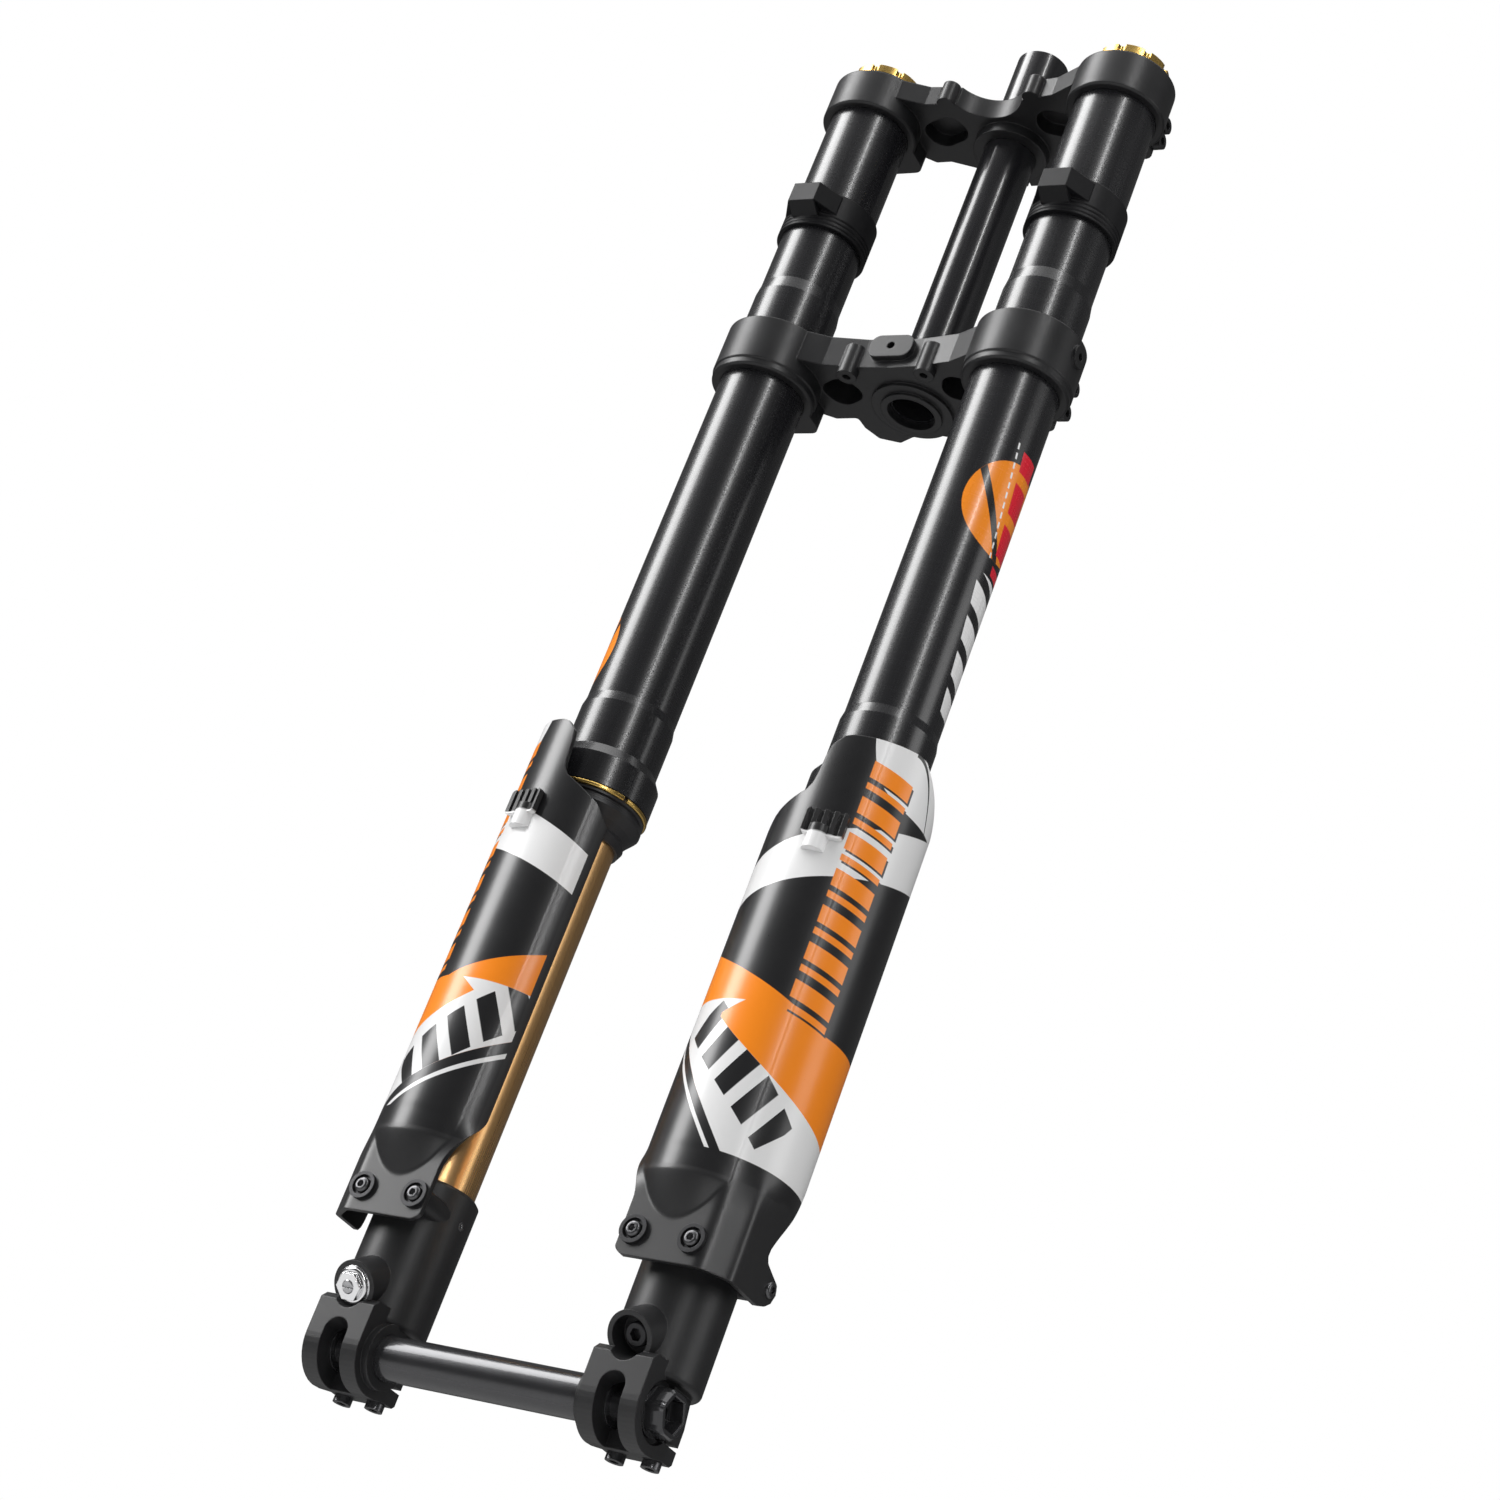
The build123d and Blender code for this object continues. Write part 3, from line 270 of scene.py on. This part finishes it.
def tubeFinish(side):
    net = Net("rightTubeBlack" if side > 0 else "leftTubeBlack")
    d = decals
    own = d["right"] if side > 0 else d["left"]
    angle, z = legAngle(net, side)
    across = (angle - (d["angle"] + own["turn"])) * d["arc"]      # arc length on the tube
    up = z - own["z"]
    streak = net.noise(90.0, 2.0, (6, 6, 0.25))
    rings = net.noise(900.0, 1.0, (0.02, 0.02, 1.0))
    fine = net.noise(1800.0, 2.0)
    disc = (across.calc("POWER", 2.0) + up.calc("POWER", 2.0)).calc("SQRT").below(d["radius"])
    lean = across + up * d["lean"]
    stroke = (across + up * d["stroke"]["lean"]).within(*d["stroke"]["across"])
    thin = barRow(lean, up, d["thin"])
    red = barRow(lean, up, d["red"])
    pale = barRow(lean, up, d["pale"])
    colour = net.blend(streak, d["tubeDark"], d["tubeLight"])
    colour = net.blend(disc, colour, d["orange"])
    colour = net.blend(stroke * disc, colour, d["black"])
    colour = net.blend(red, colour, d["redInk"])
    colour = net.blend(thin, colour, d["white"])
    colour = net.blend(pale, colour, d["white"])
    ink = (disc + red + pale).unit()
    rough = d["rough"] + streak * d["streakRough"] + (rings - 0.5) * d["ringRough"]
    grain = rings * 0.9 + fine * 0.1
    normal = net.bump(grain, d["bump"], 0.0001)
    return net.finish(colour, rough, 0.0, normal, d["coat"] + ink * d["inkCoat"], 0.06, 0.7)


# steerer: two blacks and the roughness both follow a long streak
def steererFinish():
    net = Net("steererBlack")
    streak = net.noise(120.0, 2.0, (8, 8, 0.3))
    fine = net.noise(1800.0, 2.0)
    colour = net.blend(streak, (0.008, 0.008, 0.009), (0.015, 0.015, 0.017))
    return net.finish(colour, 0.20 + streak * 0.08, 0.0, net.bump(fine, 0.02, 0.0001), 0.3, 0.08)


# stanchion: two bronzes mixed by fine streaks along the leg, then a painted highlight: a lighter bronze where the
# broad sheen noise is high
def stanchionFinish():
    net = Net("bronzeHardCoat")
    streak = net.noise(420.0, 2.0, (4, 4, 0.02))
    sheenNoise = net.noise(40.0, 3.0, (1, 1, 0.5))
    colour = net.blend(streak, (0.69, 0.405, 0.17), (0.74, 0.445, 0.19))
    # painted highlight: pale bronze mixed in where the broad noise is high; the same noise raises the roughness
    colour = net.blend((sheenNoise - 0.35).unit() * 0.3, colour, (0.84, 0.57, 0.31))
    return net.finish(colour, 0.24 + streak * 0.03 + sheenNoise * 0.05, 0.9, net.bump(streak, 0.006, 0.0001))


# guard artwork in leg angle (degrees) and height (mm): a slanted white band, a white patch above an exponential
# curve, an orange field under a falling edge, a pointed white wedge with dark slabs, a stripe, and slanted bars
art = {
    "white": (0.80, 0.80, 0.80),
    "orange": (0.95, 0.26, 0.010),
    "black": (0.012, 0.012, 0.013),
    "plain": (0.016, 0.016, 0.017),
    "arc": 0.616,        # mm of surface per degree
    "bandTop": (0.24, -307.5), "bandFoot": (0.20, -331.0),
    "patch": dict(start=28.0, decay=12.0, depth=28.0, base=-281.5),
    "hoop": dict(angle=62.0, half=30.0, depth=-23.0, top=-252.0, line=(-1.2, 0.8)),
    "orangeLeast": -394.0, "orangeFoot": -440.0,
    "corner": -12.0, "diagonal": (-0.5, 0.0017, -400.0),
    "tipTo": 4.0, "tipRise": 0.433, "tipDrop": 6.9, "wedgeFoot": -460.5, "stripe": (-6.0, -8.6),
    "slab": dict(along=(-8.0, 62.0), high=(-12.0, 9.0), start=8.0, pitch=15.4, skew=0.22, share=0.60,
                 turn=(0.74, 0.672)),
    "bars": dict(middle=50.0, slant=0.10, angle=(33.0, 67.0), z=(-395.0, -265.5), top=265.0, pitch=18.6,
                 wide=(0.8, 9.4), narrow=(12.0, 15.2), shadow=(1.8, -1.2)),
    "skin": dict(radius=34.6, shift=1.7, foot=-470.0, inner=-51.5),
    "right": dict(orangeTop=-378.0, orangeFall=-0.25, lowEdge=-412.0, lowAngle=-40.0, lowFall=-0.75, tip=-391.0,
                  slabAcross=9.2, slabDown=404.0),
    "left": dict(orangeTop=-388.0, orangeFall=-0.28, lowEdge=-415.0, lowAngle=-60.0, lowFall=-0.42, tip=-395.0,
                 slabAcross=26.0, slabDown=402.0),
}


def slantedBars(angle, z, da, dz):
    b = art["bars"]
    a = angle - da
    w = z - dz + (a - b["middle"]) * b["slant"]
    phase = ((w + b["top"]) * -1.0 / b["pitch"]).calc("FRACT") * b["pitch"]
    keep = a.within(*b["angle"], 0.5) * w.within(*b["z"])
    return keep * (phase.within(*b["wide"]) + phase.within(*b["narrow"]))


def guardArt(net, side):
    own = art["right"] if side > 0 else art["left"]
    angle, z = legAngle(net, side, art["skin"]["shift"])
    band = z.below(angle * art["bandTop"][0] + art["bandTop"][1])
    band = band * z.above(angle * art["bandFoot"][0] + art["bandFoot"][1])
    p = art["patch"]
    curve = (((angle * -1.0 + p["start"]) / p["decay"]).calc("EXPONENT") * p["depth"]) + p["base"]
    patch = angle.above(p["start"]) * z.above(curve)
    h = art["hoop"]
    hoop = (angle - h["angle"]) / h["half"]
    line = z - (hoop * hoop * h["depth"] + h["top"])
    patch = patch * (1.0 - angle.above(h["angle"]) * line.within(*h["line"]))
    top = (angle * own["orangeFall"] + own["orangeTop"]).calc("MAXIMUM", art["orangeLeast"])
    orange = z.below(top) * z.above(art["orangeFoot"])
    k = angle - art["corner"]
    fall, bend, rise = art["diagonal"]
    diagonal = k * fall + k * k * bend + rise
    body = z.below(diagonal) * angle.above(art["corner"]) + z.below(own["tip"]) * angle.below(art["corner"])
    slope = k * art["tipRise"] + (own["tip"] - art["tipDrop"])
    tip = angle.within(art["corner"], art["tipTo"]) * z.below(own["tip"]) * z.above(slope)
    low = (angle - own["lowAngle"]) * own["lowFall"] + own["lowEdge"]
    foot = low.calc("MAXIMUM", art["wedgeFoot"])
    wedge = (body + tip).unit() * z.above(foot)
    orange = orange * z.above(foot)
    stripe = z.below(low + art["stripe"][0]) * z.above(low + art["stripe"][1]) * z.above(art["wedgeFoot"])
    c = art["slab"]
    across = angle * art["arc"] + own["slabAcross"]
    drop = z + own["slabDown"]
    cosine, sine = c["turn"]
    along = across * cosine - drop * sine
    high = across * sine + drop * cosine
    gaps = ((along + high * c["skew"] + c["start"]) / c["pitch"]).calc("FRACT").below(c["share"], 0.03)
    slab = along.within(*c["along"]) * high.within(*c["high"]) * gaps
    shadow = slantedBars(angle, z, *art["bars"]["shadow"])
    bar = slantedBars(angle, z, 0.0, 0.0)
    colour = net.blend((band + patch).unit(), art["black"], art["white"])
    colour = net.blend(orange, colour, art["orange"])
    colour = net.blend(wedge, colour, art["white"])
    colour = net.blend(stripe, colour, art["white"])
    colour = net.blend(slab * wedge, colour, art["black"])
    colour = net.blend(shadow, colour, art["black"])
    colour = net.blend(bar, colour, art["orange"])
    return colour, angle, z


# guard: the artwork on its outer skin above the foot and clear of the inner edge, plain black elsewhere;
# roughness is a set value plus broad and fine noise, a little lower on the printed skin
def guardFinish(side):
    net = Net("rightGuardPlastic" if side > 0 else "leftGuardPlastic")
    colour, angle, z = guardArt(net, side)
    g = art["skin"]
    x, y, zz = net.xyz()
    out = (x * float(side) - legX).calc("POWER", 2.0) + (y - legY + g["shift"]).calc("POWER", 2.0)
    skin = out.calc("SQRT").above(g["radius"], 0.2) * z.above(g["foot"]) * angle.above(g["inner"])
    colour = net.blend(skin, art["plain"], colour)
    fine = net.noise(1400.0, 2.0)
    broad = net.noise(40.0, 3.0)
    rough = 0.36 + (broad - 0.5) * 0.10 + (fine - 0.5) * 0.05 - skin * 0.06
    return net.finish(colour, rough, 0.0, net.bump(fine, 0.06, 0.0001, net.rounded(0.0007)), 0.15, 0.2)


# hose clip: two blacks by broad noise, white on the hump below the ribs
def clipFinish():
    net = Net("clipRubber")
    fine = net.noise(1500.0, 2.0)
    broad = net.noise(80.0, 2.0)
    x, y, z = net.xyz()
    hump = z.below(-307.0, 1.0)
    dark = net.blend(broad, (0.010, 0.010, 0.010), (0.020, 0.020, 0.021))
    colour = net.blend(hump, dark, art["white"])
    return net.finish(colour, 0.30 + broad * 0.1, 0.0, net.bump(fine, 0.06, 0.0001, net.rounded(0.0004)))


# leg guard: a round wall that turns into a flat foot with a side web
guardForm = {
    "radius": 35.3, "ahead": 1.7, "wall": 2.6, "plate": -30.0, "foot": -511.0,
    "inner": -57.7, "outer": 117.0, "flatAngle": 37.0, "bend": (33.0, -19.5),
    "turnFrom": -458.0, "turnOver": 26.0, "chinTop": -472.0, "chinFoot": -491.5, "chinRadius": 28.3,
    "split": -448.0,           # height where the fine lower rows begin
    "innerFrom": -456.0, "innerOver": 30.0, "chinBlend": 0.5, "pathStep": 0.25, "pathSoft": 1.9,
    "topAngle": (-57.7, -43.0, -12.0, -8.0, -6.5, -5.0, -3.0, 5.0, 12.0, 35.0, 65.0, 72.0, 80.0, 93.0, 117.0),
    "topZ": (-303.5, -294.0, -284.0, -280.5, -276.0, -266.0, -260.0, -255.2, -254.0, -253.0, -251.6, -252.6, -256.7,
             -263.5, -278.0),
    "rearZ": (-511.0, -509.0, -506.0, -501.5, -497.5, -495.5, -493.0, -490.5, -487.0, -470.0, -455.0, -250.0),
    "rightRear": (103.0, 111.5, 117.8, 120.6, 118.0, 109.0, 98.5, 95.5, 96.0, 108.0, 117.0, 117.0),
    "leftRear": (89.0, 91.0, 92.0, 92.5, 93.0, 93.5, 94.0, 95.0, 97.0, 108.0, 117.0, 117.0),
    "across": 210, "low": 100, "high": 70,
}


def smoothStep(t):
    t = np.clip(t, 0.0, 1.0)
    return t * t * (3.0 - 2.0 * t)


def webPath():
    g = guardForm
    arc = g["radius"] * math.pi / 180.0
    startX = g["radius"] * math.sin(math.radians(g["flatAngle"]))
    knots = np.array([(-startX - 30.0, g["plate"]), (startX, g["plate"]), g["bend"], (g["bend"][0], 45.0)])
    gaps = np.hypot(*np.diff(knots, axis=0).T)
    along = np.concatenate(([0.0], np.cumsum(gaps))) - gaps[0]
    step = g["pathStep"]
    fine = np.arange(along[0], along[-1], step)
    x = np.interp(fine, along, knots[:, 0])
    y = np.interp(fine, along, knots[:, 1])
    soft = np.exp(-0.5 * (np.arange(-24, 25) * step / g["pathSoft"]) ** 2)
    soft /= soft.sum()
    x = np.convolve(np.pad(x, 24, "edge"), soft, "valid")
    y = np.convolve(np.pad(y, 24, "edge"), soft, "valid")
    return fine, x, y, arc


def guardMesh(side):
    g = guardForm
    u = np.linspace(0.0, 1.0, g["across"])
    topAngle = g["inner"] + (g["outer"] - g["inner"]) * u
    topZ = np.interp(topAngle, g["topAngle"], g["topZ"])
    split = g["split"]
    t = np.concatenate((np.linspace(0, 1, g["low"], endpoint=False), 1.0 + np.linspace(0, 1, g["high"])))
    low = g["foot"] + np.clip(t, 0, 1)[:, None] * (split - g["foot"])
    z = low + np.clip(t - 1.0, 0, 1)[:, None] * (topZ[None, :] - split)
    # edges of the wall at each height, as angles round the leg
    inner = g["inner"] + (g["inner"] + g["flatAngle"]) * -1.0 * smoothStep((g["innerFrom"] - z) / g["innerOver"])
    inner = inner + 8.0 * np.clip((-507.0 - z) / 4.0, 0, 1) ** 2
    rear = np.interp(z, g["rearZ"], g["rightRear"] if side > 0 else g["leftRear"])
    a = inner + (rear - inner) * u[None, :]
    rad = np.radians(a)
    roundX = g["radius"] * np.sin(rad)
    roundY = -g["ahead"] - g["radius"] * np.cos(rad)
    # flat foot and web by arc length past the flat part, otherwise straight across
    along, pathX, pathY, arc = webPath()
    s = (a - g["flatAngle"]) * arc
    flatX = np.interp(s, along, pathX)
    flatY = np.interp(s, along, pathY)
    across = smoothStep((g["flatAngle"] - a) / 12.0)
    flatX = flatX * (1.0 - across) + roundX * across
    w = smoothStep((g["turnFrom"] - z) / g["turnOver"])
    x = roundX * (1.0 - w) + flatX * w
    y = roundY * (1.0 - w) + flatY * w
    # chin: cone narrowing downwards, kept wherever it stands in front of the foot
    fall = np.clip((g["chinTop"] - z) / (g["chinTop"] - g["chinFoot"]), 0.0, 1.3)
    cone = g["radius"] - (g["radius"] - g["chinRadius"]) * fall ** 1.15
    chin = -g["ahead"] - np.sqrt(np.maximum(cone ** 2 - x ** 2, 0.0))
    near = np.abs(a) < g["flatAngle"] + 1.5
    k = g["chinBlend"]
    h = np.clip(0.5 + 0.5 * (y - chin) / k, 0.0, 1.0)
    y = np.where(near, y * (1.0 - h) + chin * h - k * h * (1.0 - h), y)
    outer = np.stack((x, y, z), -1)
    du = np.gradient(outer, axis=1)
    dv = np.gradient(outer, axis=0)
    normal = np.cross(du, dv)
    normal /= np.linalg.norm(normal, axis=-1, keepdims=True)
    probe = outer[5, 90]       # one point of the wall, to see which way its normal points
    away = np.sign(np.sum(normal[5, 90] * (probe - np.array((0, 0, z[5, 90])))))
    inside = outer - normal * g["wall"] * away
    inside[..., 2] = outer[..., 2]
    rows, cols = z.shape
    points = np.concatenate((outer.reshape(-1, 3), inside.reshape(-1, 3)))
    points[:, 0] = side * (points[:, 0] + legX)
    points[:, 1] += legY
    index = np.arange(rows * cols).reshape(rows, cols)
    quads = np.stack((index[:-1, :-1], index[:-1, 1:], index[1:, 1:], index[1:, :-1]), -1).reshape(-1, 4)
    back = quads[:, ::-1] + rows * cols
    rim = np.concatenate((index[0, :], index[1:, -1], index[-1, -2::-1], index[-2:0:-1, 0]))
    nxt = np.roll(rim, -1)
    strip = np.stack((nxt, rim, rim + rows * cols, nxt + rows * cols), -1)
    faces = np.concatenate((quads, back, strip))
    if side < 0:
        faces = faces[:, ::-1]
    name = "rightGuardShell" if side > 0 else "leftGuardShell"
    mesh = bpy.data.meshes.new(name)
    mesh.from_pydata((points * mm).tolist(), [], faces.tolist())
    mesh.shade_smooth()
    mesh.set_sharp_from_angle(angle=math.radians(38.0))
    piece = bpy.data.objects.new(name, mesh)
    bpy.context.scene.collection.objects.link(piece)
    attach(piece, "lower_legs")
    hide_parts("right_guard" if side > 0 else "left_guard")
    return piece


# through axle: turned bar with two necks, flange, chamfered hexagon head and hexagon socket
axleForm = {
    "ahead": -36.5, "height": -568.0, "barR": 10.0, "boreR": 5.2, "neckR": 6.6, "neckHalf": 5.6, "legs": 73.5,
    "tail": -85.0, "seat": 85.6, "flangeR": 10.95, "flangeTo": 87.0, "headTo": 95.85, "headFlats": 19.2,
    "headRound": 10.7, "headEdge": 1.4, "faceLess": 1.2, "faceRound": 9.4, "socketFlats": 13.6, "socketDepth": 7.0,
    "mouthMore": 1.0, "mouthEdge": 0.6, "tailEdge": 0.8, "steps": 144,
}


def axleMesh():
    g = axleForm
    turn = np.linspace(0.0, 2.0 * math.pi, g["steps"], endpoint=False)
    fold = np.mod(turn, math.pi / 3.0) - math.pi / 6.0

    def circle(r):
        return np.full(g["steps"], r)

    def hexagon(flats, limit=99.0):
        return np.minimum(flats * 0.5 / np.cos(fold), limit)

    necks = []
    for leg in (-g["legs"], g["legs"]):
        low, high = leg - g["neckHalf"], leg + g["neckHalf"]
        necks += [(low, circle(g["barR"])), (low, circle(g["neckR"]))]
        necks += [(high, circle(g["neckR"])), (high, circle(g["barR"]))]
    head = g["headTo"]
    socket = head - g["socketDepth"]
    edge = g["tailEdge"]
    faceFlats = g["headFlats"] - g["faceLess"]
    mouthFlats = g["socketFlats"] + g["mouthMore"]
    rings = [(g["tail"], circle(g["barR"] - edge)), (g["tail"] + edge, circle(g["barR"]))] + necks
    rings += [
        (g["seat"], circle(g["barR"])),
        (g["seat"], circle(g["flangeR"])),
        (g["flangeTo"], circle(g["flangeR"])),
        (g["flangeTo"], hexagon(g["headFlats"], g["headRound"])),
        (head - g["headEdge"], hexagon(g["headFlats"], g["headRound"])),
        (head, hexagon(faceFlats, g["faceRound"])),
        (head, hexagon(mouthFlats)),
        (head - g["mouthEdge"], hexagon(g["socketFlats"])),
        (socket, hexagon(g["socketFlats"])),
        (socket, circle(g["boreR"])),
        (g["tail"], circle(g["boreR"])),
    ]
    points = []
    for x, r in rings:
        y = g["ahead"] + r * np.cos(turn)
        z = g["height"] + r * np.sin(turn)
        points.append(np.stack((np.full(g["steps"], x), y, z), -1))
    index = np.arange(len(rings) * g["steps"]).reshape(len(rings), g["steps"])
    nextRing = np.roll(index, -1, axis=0)
    faces = np.stack((index, np.roll(index, -1, axis=1), np.roll(nextRing, -1, axis=1), nextRing), -1).reshape(-1, 4)
    mesh = bpy.data.meshes.new("axleBar")
    mesh.from_pydata((np.concatenate(points) * mm).tolist(), [], faces[:, ::-1].tolist())
    mesh.shade_smooth()
    mesh.set_sharp_from_angle(angle=math.radians(24.0))
    piece = bpy.data.objects.new("axleBar", mesh)
    bpy.context.scene.collection.objects.link(piece)
    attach(piece, "axle")
    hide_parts("thru_axle")
    return piece


def coilMesh():
    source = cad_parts["main_spring"]
    mesh = source.data.copy()
    mesh.transform(source.matrix_world)
    piece = bpy.data.objects.new("coilSpring", mesh)
    bpy.context.scene.collection.objects.link(piece)
    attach(piece, "chassis")
    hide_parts("main_spring")
    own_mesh(piece)
    return piece


# which finish each carried-over piece wears
dress = {
    "crownPaint": ["upper_crown", "lower_crown"],
    "lugPaint": ["left_axle_lug", "right_axle_lug"],
    "blackSteel": ["upper_crown_bolts", "lower_crown_bolts", "foot_nut", "guard_collars"],
    "screwBlack": ["guard_screws", "lug_pinch_bolts"],
    "boltSteel": ["lug_set_screws", "seal_clips", "rebound_screw"],
    "brightSteel": ["foot_plug", "damper_rod"],
    "goldAnodised": ["left_top_cap", "right_top_cap", "wiper_rings"],
    "alloy": ["compression_knob", "preload_knob", "preload_spacer", "spring_seat", "damper_tube", "damper_head",
              "damper_piston"],
    "bushBronze": ["upper_bushes", "lower_bushes"],
    "bumperRubber": ["left_bumper", "right_bumper"],
    "sealRubber": ["dust_wipers", "oil_seals", "top_cap_seals"],
}
for key, names in dress.items():
    for name in names:
        clad(name, made[key])
clad("right_upper_tube", tubeFinish(1))
clad("left_upper_tube", tubeFinish(-1))
clad("steerer_tube", steererFinish())
coat = stanchionFinish()
clad("left_stanchion", coat)
clad("right_stanchion", coat)
for side in (1, -1):
    clad(guardMesh(side), guardFinish(side))
clad("hose_clips", clipFinish())
clad(axleMesh(), made["axleBlack"])
clad(coilMesh(), made["springPaint"])
print("materials on every node")


# camera: close to the floor in front, looking up at the fork
view = {
    "right": (0.8420, 0.4300, 0.3260),
    "up": (-0.0490, -0.5405, 0.8400),
    "spot": (0.7786, -1.0726, -0.8707),
    "lens": 73.23,
}
right = Vector(view["right"]).normalized()
up = (Vector(view["up"]) - right * Vector(view["up"]).dot(right)).normalized()
back = right.cross(up)
cameraData = bpy.data.cameras.new("camera")
cameraData.lens = view["lens"]
cameraData.sensor_width = 36.0
cameraData.clip_start = 0.01
cameraData.clip_end = 50.0
camera = bpy.data.objects.new("camera", cameraData)
bpy.context.scene.collection.objects.link(camera)
turn = Matrix((right, up, back)).transposed().to_4x4()
camera.matrix_world = Matrix.Translation(Vector(view["spot"])) @ turn
bpy.context.scene.camera = camera

# lamps: direction from the front (degrees towards +X), height angle, distance, size, power
lamps = {
    "broadLeft": dict(azimuth=-54.0, height=28.0, distance=2.2, width=0.9, tall=2.4, power=70.0),
    "stripRight": dict(azimuth=45.5, height=28.0, distance=2.4, width=0.10, tall=2.4, power=20.0),
    "over": dict(azimuth=10.0, height=80.0, distance=2.0, width=2.0, tall=2.0, power=26.0),
    "fillRight": dict(azimuth=100.0, height=10.0, distance=2.4, width=1.0, tall=2.0, power=14.0),
    "low": dict(azimuth=30.0, height=-35.0, distance=2.4, width=1.6, tall=1.2, power=7.0),
}
middle = Vector((0.0, -0.03, -0.18))
for name, l in lamps.items():
    data = bpy.data.lights.new(name, "AREA")
    data.shape = "RECTANGLE"
    data.size = l["width"]
    data.size_y = l["tall"]
    data.energy = l["power"]
    a, h = math.radians(l["azimuth"]), math.radians(l["height"])
    away = Vector((math.sin(a) * math.cos(h), -math.cos(a) * math.cos(h), math.sin(h)))
    lamp = bpy.data.objects.new(name, data)
    lamp.location = middle + away * l["distance"]
    lamp.rotation_euler = away.to_track_quat("Z", "Y").to_euler()
    bpy.context.scene.collection.objects.link(lamp)

world = bpy.data.worlds.new("studio")
world.use_nodes = True
sky = world.node_tree.nodes["Background"]
sky.inputs[0].default_value = (1.0, 1.0, 1.0, 1.0)
seen = world.node_tree.nodes.new("ShaderNodeLightPath")      # white where looked at, dim as a light
dim = world.node_tree.nodes.new("ShaderNodeMapRange")
dim.inputs["To Min"].default_value = 0.09
dim.inputs["To Max"].default_value = 1.0
world.node_tree.links.new(seen.outputs["Is Camera Ray"], dim.inputs["Value"])
world.node_tree.links.new(dim.outputs[0], sky.inputs[1])
bpy.context.scene.world = world
bpy.context.scene.view_settings.view_transform = "Standard"
print("camera and lamps set")


# pale floor well below the camera: two pale greys mixed by a cloud of noise, which also moves the roughness
floor = {"half": 6.0, "z": -1.6}
reach, level = floor["half"], floor["z"]
corners = [(-reach, -reach, level), (reach, -reach, level), (reach, reach, level), (-reach, reach, level)]
mesh = bpy.data.meshes.new("floor")
mesh.from_pydata(corners, [], [(0, 1, 2, 3)])
floorPiece = bpy.data.objects.new("floor", mesh)
bpy.context.scene.collection.objects.link(floorPiece)
floorNet = Net("paleFloor")
cloud = floorNet.noise(3.0, 2.0)
floorColour = floorNet.blend(cloud, (0.80, 0.80, 0.80), (0.84, 0.84, 0.84))
mesh.materials.append(floorNet.finish(floorColour, 0.7 + cloud * 0.1))
